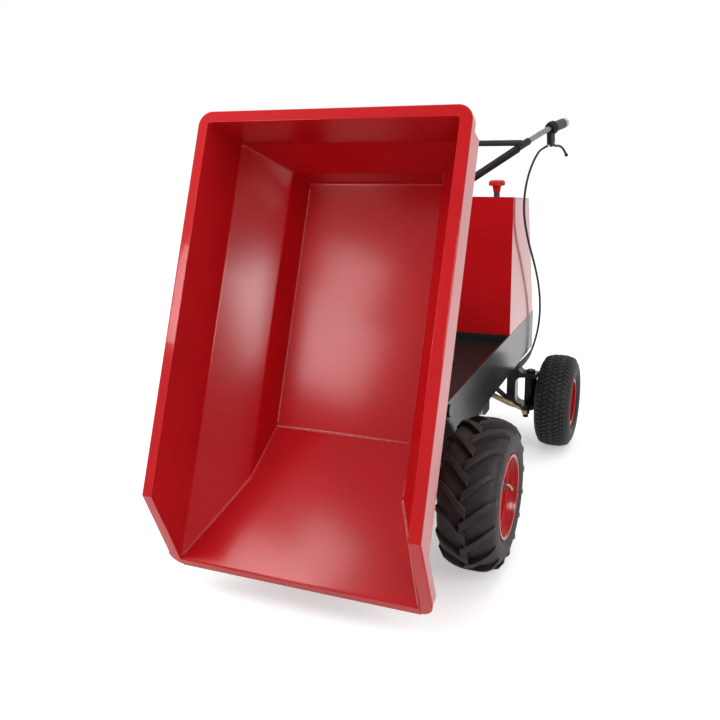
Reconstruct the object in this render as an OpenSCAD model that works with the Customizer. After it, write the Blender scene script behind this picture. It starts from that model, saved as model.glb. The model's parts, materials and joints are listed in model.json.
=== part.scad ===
// Walk-behind four-wheel dumper with its bucket tipped forward.
// Origin on the ground under the middle of the machine, +Z up, -Y ahead, +X to the operator's left.

/* [Wheels] */
// Distance between the front and rear axles
wheelbase = 922; // [915:1:926]
// Distance between the middles of the front tyres
front_track = 700; // [698:1:730]
// Distance between the middles of the rear tyres
rear_track = 785; // [780:1:810]
// Outer diameter of a front tyre over its lugs
front_tyre_d = 406; // [398:1:408]
// Width of a front tyre
front_tyre_w = 165; // [158:1:167]
// Diameter of a front rim at its bead seats
front_rim_d = 203; // [198:1:208]
// Height of the lugs of a front tyre
lug_h = 17; // [12:1:20]
// Thickness of a lug along the tread
lug_t = 21; // [16:1:24]
// Lugs on each half of a front tyre
lug_count = 16; // [12:1:18]
// Outer diameter of a rear tyre
rear_tyre_d = 331; // [326:1:334]
// Width of a rear tyre
rear_tyre_w = 127; // [120:1:129]
// Diameter of a rear rim at its bead seats
rear_rim_d = 152; // [148:1:158]
// Depth of the grooves of a rear tyre
groove_h = 6; // [3:1:8]

/* [Chassis] */
// Width over the side rails
chassis_w = 510; // [504:1:514]
// Height of a side rail
rail_h = 142; // [140:1:146]
// Height of the rails' lower edge above the ground
rail_z = 305; // [303:1:308]
// Thickness of the rails' plate
rail_t = 6; // [4:1:7]
// Width of the rails' bottom flange
flange_w = 45; // [40:1:50]
// Reach of the rails ahead of the front axle
rail_front = 70; // [64:1:80]
// Length of the rails behind the rear axle
rail_tail = 198; // [196:1:228]
// Depth of the deck below the rails' upper edge
deck_drop = 27; // [25:1:29]
// Thickness of the deck plate
deck_t = 5; // [4:1:6]
// Side of the square cross tubes
cross_s = 50; // [40:1:52]

/* [Bucket] */
// Inside width of the floor
floor_w = 390; // [380:1:400]
// Inside width at the lower fold
low_fold_w = 426; // [420:1:432]
// Inside width at the upper fold
high_fold_w = 637; // [630:1:640]
// Inside width of the mouth
mouth_w = 644; // [642:1:650]
// Height of the lower fold above the floor
low_fold_h = 74; // [68:1:80]
// Height of the upper fold and of the pouring lip
high_fold_h = 187; // [180:1:195]
// Height of the rim above the floor
bucket_h = 344; // [338:1:350]
// Length of the floor
floor_l = 684; // [676:1:690]
// Length from the floor's rear edge to the pouring lip
lip_l = 1041; // [1030:1:1050]
// Length from the floor's rear edge to the end of the level rim
turn_l = 888; // [880:1:896]
// Lean of the rear wall at the upper fold
rear_lean = 43; // [38:1:48]
// Thickness of the bucket's sheet
sheet_t = 3; // [2:0.5:4]
// Width of the rim's flange
rim_w = 29; // [26:1:34]
// Depth of the rim's turned-down edge
rim_drop = 27; // [20:1:32]
// Angle that the bucket is tipped by
tip_angle = 66.8; // [62:0.1:70]
// Height of the hinge pin above the ground
pivot_z = 420; // [418:1:424]
// Place of the hinge pin behind the front axle
pivot_y = 9; // [4:1:14]
// Distance of the hinge pin from the floor's rear edge
pivot_l = 586; // [582:1:590]
// Depth of the hinge pin under the floor
pivot_drop = 90; // [88:1:94]
// Depth of the ribs under the floor
rib_h = 50; // [46:1:51]
// Diameter of the hinge pin
pin_d = 25; // [20:1:28]

/* [Housing] */
// Distance from the housing's front wall back to the steering column
column_set = 202; // [196:1:208]
// Length of the housing's top
housing_top_l = 246; // [242:1:256]
// Length of the housing's foot
housing_foot_l = 387; // [380:1:392]
// Height of the housing's front wall
housing_h = 462; // [458:1:466]
// Fall of the lid from front to rear
lid_fall = 26; // [20:1:30]
// Thickness of the housing's sheet
wall_t = 3; // [2:0.5:4]

/* [Steering] */
// Distance of a kingpin from the middle
kingpin_x = 293; // [290:1:296]
// Diameter of a kingpin
kingpin_d = 20; // [16:1:22]
// Length of the steering arms
arm_l = 80; // [76:1:84]
// Diameter of the steering column
column_d = 42; // [38:1:44]
// Diameter of a tie rod
tie_rod_d = 16; // [14:1:18]
// Height of the outer ball joints
arm_joint_z = 138; // [134:1:139]

/* [Handlebar] */
// Height of the crossbar
crossbar_z = 1069; // [1064:1:1078]
// Distance of the crossbar's ends from the middle
crossbar_x = 238; // [232:1:244]
// Diameter of the handlebar's sloping tubes
slope_tube_d = 26; // [24:1:30]
// Diameter of the crossbar
crossbar_d = 19; // [16:1:22]
// Diameter of the handles' tubes
handle_d = 22; // [20:1:24]
// Diameter of a grip
grip_d = 34; // [30:1:36]

/* [Hidden] */
$fn = 64;

// Clearances and the overrun of the cuts
run_gap = 0.05;
seat_gap = 0.3;
over = 5;

// Colours
red = "#c01418";
black = "#1b1d1c";
silver = "#b9bcbe";
rubber = "#222221";
zinc = "#c9a24a";
bronze = "#a87a3d";

// Rails, deck and cross tubes
rail_top = rail_z + rail_h;
rail_in = chassis_w / 2 - rail_t;
rail_cut = 40;
rail_rear = wheelbase + rail_tail;
rail_l = rail_front + rail_rear;
deck_z = rail_top - deck_drop;
deck_front = 95;
deck_rear = rail_rear - 2 * over;
sill_t = 30;
tube_wall = 4;
cross_set = 122;
cross_places = [115, 520, wheelbase - cross_set];

// Wheels
front_r = front_tyre_d / 2;
rear_r = rear_tyre_d / 2;
front_x = front_track / 2;
rear_x = rear_track / 2;
rear_y = wheelbase;
housing_y = rear_y - column_set;
rim_sheet = 4;
rim_lip_h = 12;
bead_gap = 0.2;
rim_flange_t = 5;
disc_t = 6;
disc_inset = 9.5;
hub_flange_d = 110;
hub_flange_t = 12;
hub_nose_d = 42;
hub_nose_h = 9;
end_bolt_d = 24;
end_bolt_h = 9;
groove_w = 6;
lug_sweep = 42;
lug_foot_share = 0.74;
lug_root_share = 0.62;
groove_shares = [-0.5, -0.17, 0.17, 0.5];
crown_shares = [[1, -1, 0.93], [1, -0.75, 0.985], [1, -0.3, 1], [1, 0.3, 1], [1, 0.75, 0.985], [1, 1, 0.93],
    [0, 1, 0.77], [0, 0.66, 0.89], [0, -0.66, 0.89], [0, -1, 0.77]];
tyre_outer_shares = [[0.75, 0], [0.75, 0.16], [0.9, 0.27], [0.985, 0.46], [0.98, 0.66], [0.88, 0.86], [0.66, 0.97],
    [0.3, 1]];
tyre_inner_shares = [[0.3, 0.87], [0.58, 0.85], [0.76, 0.76], [0.85, 0.6], [0.85, 0.46], [0.74, 0.3], [0.6, 0.18],
    [0.6, 0]];

// Bucket in its own frame: y is 0 at the floor's rear edge and z is 0 on the floor
slant_share = 1.41;
low_back = 4;
rim_step = 6;
rim_back = rear_lean - rim_step;
skin = sheet_t * slant_share;
pour_rise = high_fold_h / norm([high_fold_h, lip_l - floor_l]);
front_skin = sheet_t / pour_rise;
low_front = floor_l + (lip_l - floor_l) * low_fold_h / high_fold_h;
half_floor = floor_w / 2;
half_low = low_fold_w / 2;
half_high = high_fold_w / 2;
half_mouth = mouth_w / 2;
mouth_grow = (half_mouth - half_high) / (bucket_h - high_fold_h) * over;
back_grow = (rear_lean - rim_back) / (bucket_h - high_fold_h) * over;
rim_r = 36;
drop_run = lip_l - turn_l;
drop_fall = bucket_h - high_fold_h;
drop_angle = atan2(drop_fall, drop_run);
rim_out = half_mouth + rim_w;
rim_corner_x = rim_out - rim_r;
rim_corner_y = rim_back + rim_w - rim_r;
rim_miter = sheet_t * tan(drop_angle / 2);
lip_h = 20;
rib_w = 40;
rib_x = 100;
rib_start = 30;
rib_t = 4;
lug_plate_t = 14;
hinge_lug_d = 58;
hinge_lug_foot = 120;
bush_wall = 5;
striker_d = 16;
striker_l = 45;
striker_drop = 38;

// Stops and latch
pad_t = 12;
pad_d = 38;
bar_s = 40;
bar_l = 59;
rest_place = 430;
rest_w = 36;
rest_len = 60;
latch_y = 578;
latch_z = 18;
latch_d = 14;
latch_handle_d = 12;
latch_end = 12;
latch_open = 20;
latch_ear_t = 8;
latch_ear_w = 40;
latch_ear_d = 30;
latch_plate_t = 10;
latch_boss_d = 26;
latch_handle_x = 205;
latch_handle_l = 140;
latch_lean = 28;
latch_knob_d = 24;
latch_reach = 33;
latch_rise = 46;
latch_nose = 9;

// Front axle, gear case and motor
axle_z = front_r;
axle_tube_d = 60;
axle_tube_x = 262;
axle_flange_d = 84;
axle_flange_t = 13;
diff_d = 150;
diff_l = 100;
case_x = 40;
case_w = 52;
case_axle_d = 168;
case_motor_d = 140;
motor_y = 150;
motor_lift = 12;
motor_z = axle_z + motor_lift;
motor_d = 124;
motor_l = 205;
motor_cap_d = 132;
motor_cap_l = 22;
brake_d = 110;
brake_w = 38;
brake_arm_w = 20;
brake_arm_l = 80;
brake_arm_t = 8;
shaft_d = 28;
shaft_in = 75;
hanger_w = 39;
stay_t = 6;
hanger_x = rail_in - hanger_w - stay_t;
hanger_l = 110;
hanger_pad_h = 52;
hanger_neck_l = 50;
u_bolt_d = 10;
u_bolt_nut_d = 18;
u_bolt_place = axle_tube_d / 2 + u_bolt_d / 2 + seat_gap;
stay_h = 22;
stay_front = 28;
stay_rear = 480;
stay_tab_l = 55;
stay_tab_h = 42;
stay_bolt_places = [335, 362];
stay_bolt_d = 15;
stay_bolt_h = 6;

// Rear axle and steering
brace_d = 18;
brace_low = 142;
brace_high = 292;
fork_t = 16;
fork_w = 60;
fork_in = 71;
fork_x = kingpin_x - fork_in;
fork_low = 128;
fork_h = 134;
fork_reach = 26;
fork_round = 30;
bearer_t = 6;
bearer_l = 80;
bearing_d = 68;
bearing_low = 28;
bearing_h = 62;
bush_d = 54;
kingpin_head_d = 30;
kingpin_head_h = 10;
sleeve_d = 44;
sleeve_gap = 2;
arm_t = 10;
arm_w = 24;
arm_eye_d = 32;
stud_d = 12;
stud_nut_d = 20;
stud_nut_h = 7;
eye_d = 28;
eye_h = 14;
eye_gap = 6;
shank_d = 10;
shank_l = 48;
stub_d = 25;
stub_step_d = 34;
stub_nut_d = 36;
stub_nut_h = 14;
bearing_w = 12;
bearing_place = 22;
stub_step_end = rear_x - kingpin_x - bearing_place - bearing_w / 2 - seat_gap;
stub_nut_place = rear_x - kingpin_x + bearing_place + bearing_w / 2 + seat_gap;
rear_bearing_d = 47;
rear_hub_d = 60;
rear_hub_w = 70;
arm_z = arm_joint_z + eye_h / 2 + eye_gap;
column_low = 226;
column_top = 930;
pitman_z = 230;
pitman_hub_d = 64;
upper_eye_lift = 26;
lower_eye_drop = 10;
upper_eye_z = pitman_z + upper_eye_lift;
lower_eye_z = pitman_z - lower_eye_drop;
pitman_stud_z = lower_eye_z - eye_h / 2 - eye_gap - stud_nut_h;
pitman_stud_l = upper_eye_z - lower_eye_z + eye_h + 2 * eye_gap + stud_nut_h;

// Housing and what it holds
housing_z = rail_top;
lid_front_z = housing_z + housing_h;
lid_rear_z = lid_front_z - lid_fall;
housing_rear_top = housing_y + housing_top_l;
housing_rear_foot = housing_y + housing_foot_l;
lid_slope = lid_fall / housing_top_l;
panel_top_z = lid_rear_z - wall_t + wall_t * lid_slope;
boss_d = 72;
boss_top = 899;
boss_low = 830;
upper_plate_z = 838;
upper_plate_l = 75;
battery_w = 170;
battery_l = 140;
battery_h = 200;
battery_x = 60;
battery_pitch = battery_l + over;
battery_post_d = 20;
battery_post_h = 12;
controller_w = 160;
controller_room = 312;
controller_h = housing_h - controller_room;
controller_t = 20;
controller_fin_l = 60;
controller_fins = 8;
controller_z = 690;
knob_x = 184;
knob_set = 65;
knob_y = housing_y + knob_set;
knob_cap_d = 54;
knob_edge_d = 44;
knob_edge_h = 12;
knob_cap_h = 17;
knob_neck_d = 30;
knob_neck_h = 22;
knob_foot_d = 22;
stem_d = 20;
stem_h = 16;
stem_sink = 2;
stem_rod_d = 12;
stem_rod_l = 60;
stem_hole_d = 26;
switch_w = 60;
switch_h = 46;
switch_drop = 18;
knob_lid_z = lid_front_z - lid_slope * (knob_y - housing_y);

// Handlebar
bar_y = rear_y;
head_d = 60;
head_low = 902;
head_h = 38;
slope_share = 0.606;
slope_start_z = 905;
slope_top_z = slope_start_z + slope_share * crossbar_x;
slope_angle = atan(slope_share);
lug_d = 42;
lug_len = 34;
lug_z = (slope_top_z + crossbar_z) / 2;
handle_back = 3;
handle_rise = [52, 126, 50];
grip_rise = [44, 179, 26];
bend_d = 27;
handle_len = norm(handle_rise);
grip_len = norm(grip_rise);
handle_start = [crossbar_x, bar_y + handle_back, lug_z];
grip_start = handle_start + handle_rise;
handle_az = atan2(handle_rise.y, handle_rise.x);
handle_el = asin(handle_rise.z / handle_len);
grip_az = atan2(grip_rise.y, grip_rise.x);
grip_el = asin(grip_rise.z / grip_len);
grip_along = grip_rise / grip_len;
grip_up = [-sin(grip_el) * cos(grip_az), -sin(grip_el) * sin(grip_az), cos(grip_el)];
grip_place = 58;
grip_rib_h = 1;
grip_rib_t = 3;
grip_ribs = 9;
grip_collar_h = 4;
cap_t = 6;
clamp_place = 33;
clamp_w = 20;
clamp_d = 38;
perch_place = 26;
perch_drop = 62;
perch_w = 29;
perch_y = 18;
perch_front_t = 5;
perch_slot = 10.6;
slot_h = 32;
lever_x = 44;
lever_z = -52;
lever_t = 10;
lever_hub_d = 16;
lever_w = 10;
lever_pin_d = 6;
lever_pin_over = 3;
lever_ball_d = 15;
lever_steps = [[0, 0], [28, -9], [58, -30], [82, -54]];
adjuster_d = 10;
adjuster_l = 22;
adjuster_z = -56;
throttle_box_w = 24;
throttle_box_d = 46;

// Brake cable, from the adjuster to the brake arm on the gear case
cable_d = 6;
cable_sides = 8;
cable_start = grip_start + (perch_place - adjuster_l - seat_gap) * grip_along + adjuster_z * grip_up;
cable_rest = [[287, 1034, 1047], [281, 985, 1036], [276, 925, 1008], [273, 870, 965], [272, 835, 915],
    [272, 825, 860], [274, 840, 805], [276, 875, 745], [278, 930, 685], [280, 995, 625], [281, 1060, 560],
    [280, 1110, 495], [278, 1130, 430], [274, 1120, 370], [267, 1082, 318], [262, 1040, 297], [256, 985, 287],
    [251, 930, 284], [246, 880, 285], [230, 830, 289], [210, 770, 292], [194, 690, 290], [188, 600, 288],
    [186, 500, 286], [186, 400, 284], [182, 310, 282], [165, 240, 281], [145, 200, 283], [136, 180, 284],
    [134, 161, 284]];
cable_route = concat([cable_start], cable_rest);

// Frame: the middle of the tipped machine's length lies over the origin
front_reach = pivot_y - (turn_l - pivot_l) * cos(tip_angle) - (bucket_h + pivot_drop) * sin(tip_angle)
    - sheet_t * sin(tip_angle) - rim_miter * cos(tip_angle);
rear_reach = grip_start.y + grip_rise.y + grip_d / 2 * sqrt(1 - grip_along.y * grip_along.y);
origin_y = -(front_reach + rear_reach) / 2;

module placed() translate([0, origin_y, 0]) children();

module sides() {
    children();
    mirror([1, 0, 0]) children();
}

module on_side(side) {
    if (side < 0) mirror([1, 0, 0]) children();
    else children();
}

module rod_x(d, l) rotate([0, 90, 0]) cylinder(d = d, h = l);

module rod_y(d, l) rotate([-90, 0, 0]) cylinder(d = d, h = l);

module hex(d, h) cylinder(d = d, h = h, $fn = 6);

module ring(d, bore, h) difference() {
    cylinder(d = d, h = h);
    translate([0, 0, -over]) cylinder(d = bore, h = h + 2 * over);
}

module box_tube(size, wall) difference() {
    cube(size, center = true);
    cube([size.x + 2 * over, size.y - 2 * wall, size.z - 2 * wall], center = true);
}

// The bucket's own frame, turned about the hinge pin
module tipped() placed() translate([0, pivot_y, pivot_z]) rotate([tip_angle, 0, 0])
    translate([0, pivot_l, pivot_drop]) children();

// The left grip's own frame: x runs back along the grip
module at_grip() translate(grip_start) rotate([0, -grip_el, grip_az]) children();

// Chassis
module rail_plate() {
    translate([rail_in, 0, 0]) rotate([90, 0, 90]) linear_extrude(rail_t)
        polygon([[-rail_front, rail_z + rail_cut], [rail_cut - rail_front, rail_z], [rail_rear, rail_z],
            [rail_rear, rail_top], [-rail_front, rail_top]]);
    translate([rail_in - flange_w, rail_cut - rail_front, rail_z]) cube([flange_w, rail_l - rail_cut, rail_t]);
}

module side_rails() color(black) placed() sides() difference() {
    rail_plate();
    translate([rail_in - over, pivot_y, pivot_z]) rod_x(pin_d + 2 * run_gap, rail_t + 2 * over);
}

module deck_plate() color(black) placed() {
    difference() {
        translate([-rail_in, deck_front, deck_z - deck_t]) cube([2 * rail_in, deck_rear - deck_front, deck_t]);
        translate([0, rear_y, deck_z - deck_t - over]) cylinder(d = column_d + 2 * over, h = deck_t + 2 * over);
    }
    translate([-rail_in, housing_y, deck_z]) cube([2 * rail_in, sill_t, deck_drop]);
}

module cross_members() color(black) {
    placed() for (y = cross_places)
        translate([0, y, deck_z - deck_t - cross_s / 2]) box_tube([2 * rail_in, cross_s, cross_s], tube_wall);
    tipped() translate([0, -pivot_l - bar_l, -rib_h - seat_gap - pad_t - bar_s / 2])
        box_tube([2 * rail_in, bar_s, bar_s], tube_wall);
}

module bump_stops() color(rubber) {
    tipped() sides() translate([rib_x + rib_w / 2, -pivot_l - bar_l, -rib_h - seat_gap - pad_t])
        cylinder(d = pad_d, h = pad_t);
    placed() sides() translate([rib_x + rib_w / 2 - rest_w / 2, rest_place - rest_len / 2, deck_z])
        cube([rest_w, rest_len, pivot_z + pivot_drop - rib_h - seat_gap - deck_z]);
}

module hinge_pin() color(silver) placed() translate([0, pivot_y, pivot_z]) {
    translate([-chassis_w / 2, 0, 0]) rod_x(pin_d, chassis_w);
    sides() translate([chassis_w / 2, 0, 0]) rod_x(pin_d + 2 * over, rail_t);
}

module latch_brackets() color(black) placed()
    for (x = [2 * latch_ear_t - latch_handle_x, latch_plate_t + latch_ear_t])
        translate([x, latch_y, deck_z]) difference() {
            union() {
                translate([0, -latch_ear_w / 2, 0]) cube([latch_ear_t, latch_ear_w, latch_z]);
                translate([0, 0, latch_z]) rod_x(latch_ear_d, latch_ear_t);
            }
            translate([-over, 0, latch_z]) rod_x(latch_d + 2 * run_gap, latch_ear_t + 2 * over);
        }

module latch_hook() {
    circle(d = latch_boss_d);
    translate([-latch_d / 2, 0]) square([latch_d, latch_rise + latch_nose]);
    translate([-latch_reach, latch_rise]) square([latch_reach, latch_nose]);
}

module latch_lever() color(silver) placed() translate([0, latch_y, deck_z + latch_z]) rotate([-latch_open, 0, 0]) {
    translate([-latch_handle_x - latch_end, 0, 0]) rod_x(latch_d, latch_handle_x + latch_end + 4 * latch_plate_t);
    translate([-latch_plate_t / 2, 0, 0]) rotate([90, 0, 90]) linear_extrude(latch_plate_t) latch_hook();
    translate([-latch_handle_x, 0, 0]) rotate([-latch_lean, 0, 0]) {
        cylinder(d = latch_handle_d, h = latch_handle_l);
        translate([0, 0, latch_handle_l]) sphere(d = latch_knob_d);
    }
}

// Front drive
module axle_housing() color(black) placed() translate([0, 0, axle_z]) difference() {
    union() {
        translate([-axle_tube_x, 0, 0]) rod_x(axle_tube_d, 2 * axle_tube_x);
        sides() translate([axle_tube_x - axle_flange_t, 0, 0]) rod_x(axle_flange_d, axle_flange_t);
        rotate([0, -90, 0]) rotate_extrude() polygon([[0, -case_x], [diff_d / 2, -case_x],
            [diff_d / 2, diff_l / 2 - case_x], [axle_tube_d / 2, diff_l], [0, diff_l]]);
    }
    sides() translate([shaft_in, 0, 0]) rod_x(shaft_d + 2 * run_gap, axle_tube_x);
}

module gear_case() color(black) placed() difference() {
    union() {
        translate([case_x, 0, axle_z]) rod_x(case_axle_d, case_w);
        translate([case_x, motor_y, motor_z]) rod_x(case_motor_d, case_w);
        translate([case_x, 0, axle_z - case_motor_d / 2 + over]) cube([case_w, motor_y, case_motor_d]);
    }
    translate([case_x - over, 0, axle_z]) rod_x(axle_tube_d + 2 * run_gap, case_w + 2 * over);
}

module drive_motor() color(black) placed() translate([case_x - motor_l, motor_y, motor_z]) {
    rod_x(motor_d, motor_l);
    rod_x(motor_cap_d, motor_cap_l);
    translate([motor_l - motor_cap_l, 0, 0]) rod_x(motor_cap_d, motor_cap_l);
}

module brake_drum() color(black) placed() translate([case_x + case_w, motor_y, motor_z]) {
    rod_x(brake_d, brake_w);
    translate([brake_w, -brake_arm_w / 2, 0]) cube([brake_arm_t, brake_arm_w, brake_arm_l]);
}

module axle_hangers() color(black) placed() sides() difference() {
    union() {
        translate([hanger_x, -hanger_l / 2, axle_z + over]) cube([hanger_w, hanger_l, hanger_pad_h - over]);
        translate([hanger_x, -hanger_neck_l / 2, axle_z + over])
            cube([hanger_w, hanger_neck_l, rail_z - axle_z - over]);
    }
    translate([hanger_x - over, 0, axle_z]) rod_x(axle_tube_d + 2 * run_gap, hanger_w + 2 * over);
    for (s = [-1, 1]) translate([hanger_x + hanger_w / 2, s * u_bolt_place, axle_z])
        cylinder(d = u_bolt_d + 2 * run_gap, h = hanger_pad_h + over);
}

module axle_fasteners() color(silver) placed() sides() {
    translate([hanger_x + hanger_w / 2, 0, axle_z]) {
        rotate([-90, 0, 90]) rotate_extrude(angle = 180) translate([u_bolt_place, 0]) circle(d = u_bolt_d);
        for (s = [-1, 1]) translate([0, s * u_bolt_place, 0]) {
            cylinder(d = u_bolt_d, h = hanger_pad_h + 3 * over);
            translate([0, 0, hanger_pad_h]) hex(u_bolt_nut_d, u_bolt_d);
        }
    }
    for (y = stay_bolt_places) translate([rail_in, y, rail_z - stay_h / 2])
        rotate([0, 90, 0]) hex(stay_bolt_d, stay_bolt_h);
}

module axle_stays() color(black) placed() sides()
    translate([rail_in - stay_t, 0, 0]) rotate([90, 0, 90]) linear_extrude(stay_t)
        polygon([[-stay_front, rail_z], [-stay_front, rail_z - stay_h], [stay_rear - 2 * stay_tab_l, rail_z - stay_h],
            [stay_rear - stay_tab_l, rail_z - stay_tab_h], [stay_rear, rail_z - stay_tab_h], [stay_rear, rail_z]]);

// Rear axle
module axle_braces() color(black) placed() sides() difference() {
    run = fork_x - bearing_d / 2;
    rise = brace_high - brace_low;
    translate([fork_x, rear_y, brace_low]) rotate([0, atan2(rise, run) - 180, 0]) translate([-2 * brace_d, 0, 0])
        rod_x(brace_d, norm([run, rise]) + 4 * brace_d);
    translate([fork_x, rear_y - brace_d, 0]) cube([fork_w, 2 * brace_d, rail_z]);
    translate([0, rear_y, 0]) cylinder(d = bearing_d + 2 * run_gap, h = rail_top);
}

module fork_outline() {
    translate([fork_x, fork_low]) square([fork_t, rail_z - fork_low]);
    translate([fork_x + fork_round, fork_low + fork_h - fork_round]) intersection() {
        difference() {
            circle(r = fork_round);
            circle(r = fork_round - fork_t);
        }
        translate([-fork_round, 0]) square(fork_round);
    }
    translate([fork_x + fork_round, fork_low + fork_h - fork_t])
        square([kingpin_x + fork_reach - fork_x - fork_round, fork_t]);
    translate([fork_x, fork_low]) square([kingpin_x + fork_reach - fork_x, fork_t]);
}

module axle_forks() color(black) placed() sides() difference() {
    translate([0, rear_y + fork_w / 2, 0]) rotate([90, 0, 0]) linear_extrude(fork_w) fork_outline();
    translate([kingpin_x, rear_y, fork_low - over]) cylinder(d = kingpin_d + 2 * run_gap, h = fork_h + 2 * over);
}

module kingpins() color(silver) placed() sides() translate([kingpin_x, rear_y, fork_low - kingpin_head_h]) {
    cylinder(d = kingpin_d, h = fork_h + 2 * kingpin_head_h);
    hex(kingpin_head_d, kingpin_head_h);
    translate([0, 0, fork_h + kingpin_head_h]) cylinder(d = kingpin_head_d, h = kingpin_head_h);
}

module knuckle_body() difference() {
    union() {
        translate([0, 0, fork_low + fork_t + sleeve_gap])
            cylinder(d = sleeve_d, h = fork_h - 2 * fork_t - 2 * sleeve_gap);
        translate([0, 0, rear_r]) rod_x(stub_d, stub_nut_place + stub_nut_h);
        translate([0, 0, rear_r]) rod_x(stub_step_d, stub_step_end);
        translate([-arm_w / 2, -arm_l, arm_z]) cube([arm_w, arm_l, arm_t]);
        translate([0, -arm_l, arm_z]) cylinder(d = arm_eye_d, h = arm_t);
    }
    translate([0, 0, fork_low]) cylinder(d = kingpin_d + 2 * run_gap, h = fork_h);
}

module knuckle(side) color(black) placed() on_side(side) translate([kingpin_x, rear_y, 0]) {
    knuckle_body();
    translate([0, -arm_l, arm_joint_z - eye_h / 2 - eye_gap - stud_nut_h]) {
        cylinder(d = stud_d, h = eye_h + 2 * eye_gap + stud_nut_h + arm_t / 2);
        hex(stud_nut_d, stud_nut_h);
    }
    translate([stub_nut_place, 0, rear_r]) rotate([0, 90, 0]) hex(stub_nut_d, stub_nut_h);
}

module left_knuckle() knuckle(1);

module right_knuckle() knuckle(-1);

// Steering
module steering_bearer() color(black) placed() difference() {
    union() {
        translate([-rail_in, rear_y - bearer_l / 2, rail_z + rail_t]) cube([2 * rail_in, bearer_l, bearer_t]);
        translate([0, rear_y, rail_z - bearing_low]) cylinder(d = bearing_d, h = bearing_h);
    }
    translate([0, rear_y, rail_z - bearing_low - over]) cylinder(d = bush_d + 2 * run_gap, h = bearing_h + 2 * over);
}

module column_bushes() color(bronze) placed() translate([0, rear_y, 0]) {
    translate([0, 0, rail_z - bearing_low]) ring(bush_d, column_d + 2 * run_gap, bearing_h);
    translate([0, 0, boss_low]) ring(bush_d, column_d + 2 * run_gap, boss_top - boss_low);
}

module steering_column() color(black) placed() translate([0, rear_y, column_low])
    cylinder(d = column_d, h = column_top - column_low);

module pitman_arm() color(black) placed() translate([0, rear_y, 0]) {
    difference() {
        union() {
            translate([0, 0, column_low]) cylinder(d = pitman_hub_d, h = arm_w);
            translate([-arm_w / 2, -arm_l, pitman_z]) cube([arm_w, arm_l, arm_t]);
            translate([0, -arm_l, pitman_z]) cylinder(d = arm_eye_d, h = arm_t);
        }
        translate([0, 0, column_low - over]) cylinder(d = column_d + 2 * run_gap, h = arm_w + 2 * over);
    }
    translate([0, -arm_l, pitman_stud_z]) {
        cylinder(d = stud_d, h = pitman_stud_l + stud_nut_h);
        hex(stud_nut_d, stud_nut_h);
        translate([0, 0, pitman_stud_l]) hex(stud_nut_d, stud_nut_h);
    }
}

module tie_rod(side, inner_z) {
    fall = inner_z - arm_joint_z;
    span = norm([kingpin_x, fall]);
    color(zinc) placed() on_side(side) translate([0, rear_y - arm_l, 0]) difference() {
        union() {
            translate([0, 0, inner_z]) rotate([0, atan2(fall, kingpin_x), 0]) {
                rod_x(shank_d, span);
                translate([shank_l, 0, 0]) rod_x(tie_rod_d, span - 2 * shank_l);
            }
            translate([0, 0, inner_z - eye_h / 2]) cylinder(d = eye_d, h = eye_h);
            translate([kingpin_x, 0, arm_joint_z - eye_h / 2]) cylinder(d = eye_d, h = eye_h);
        }
        translate([0, 0, inner_z - eye_h]) cylinder(d = stud_d + 2 * run_gap, h = 2 * eye_h);
        translate([kingpin_x, 0, arm_joint_z - eye_h]) cylinder(d = stud_d + 2 * run_gap, h = 2 * eye_h);
    }
}

module left_tie_rod() tie_rod(1, upper_eye_z);

module right_tie_rod() tie_rod(-1, lower_eye_z);

// Wheels: axis along z with the outboard side up
module at_front(side) placed() on_side(side) translate([front_x, 0, front_r]) rotate([0, 90, 0]) children();

module at_rear(side) placed() on_side(side) translate([rear_x, rear_y, rear_r]) rotate([0, 90, 0]) children();

function half_outline(shares, bead_r, crown_r, half_w) =
    [for (s = shares) [bead_r + (crown_r - bead_r) * s.y, half_w * s.x]];
function flipped(points) = [for (i = [len(points) - 1:-1:0]) [points[i].x, -points[i].y]];

module tyre_carcass(bead_r, crown_r, half_w) {
    outer = half_outline(tyre_outer_shares, bead_r, crown_r, half_w);
    inner = half_outline(tyre_inner_shares, bead_r, crown_r, half_w);
    rotate_extrude() polygon(concat(outer, flipped(outer), flipped(inner), inner));
}

module lug_bar() rotate([0, 90, 0]) translate([0, 0, front_r * lug_foot_share])
    linear_extrude(front_r * (1 - lug_foot_share) + over)
    polygon([[over, -lug_t * lug_root_share], [over, lug_t * lug_root_share],
        [-front_tyre_w / 2, lug_t / 2 - front_tyre_w / 2 * tan(lug_sweep)],
        [-front_tyre_w / 2, -lug_t / 2 - front_tyre_w / 2 * tan(lug_sweep)]]);

module lug_bars() for (i = [0:lug_count - 1]) {
    rotate([0, 0, i * 360 / lug_count]) lug_bar();
    rotate([0, 0, (i + 1 / 2) * 360 / lug_count]) mirror([0, 0, 1]) lug_bar();
}

module lug_band() rotate_extrude() polygon([for (s = crown_shares) [front_r * s[2], front_tyre_w / 2 * s[1]]]);

module front_tyre(side) color(rubber) at_front(side) {
    tyre_carcass(front_rim_d / 2, front_r - lug_h, front_tyre_w / 2);
    intersection() {
        lug_bars();
        lug_band();
    }
}

module left_front_tyre() front_tyre(1);

module right_front_tyre() front_tyre(-1);

module rear_tyre(side) color(rubber) at_rear(side) difference() {
    tyre_carcass(rear_rim_d / 2, rear_r, rear_tyre_w / 2);
    for (s = groove_shares) translate([0, 0, s * rear_tyre_w / 2 - groove_w / 2]) difference() {
        cylinder(d = rear_tyre_d + 2 * over, h = groove_w);
        translate([0, 0, -over]) cylinder(d = rear_tyre_d - 2 * groove_h, h = groove_w + 2 * over);
    }
}

module left_rear_tyre() rear_tyre(1);

module right_rear_tyre() rear_tyre(-1);

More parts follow.
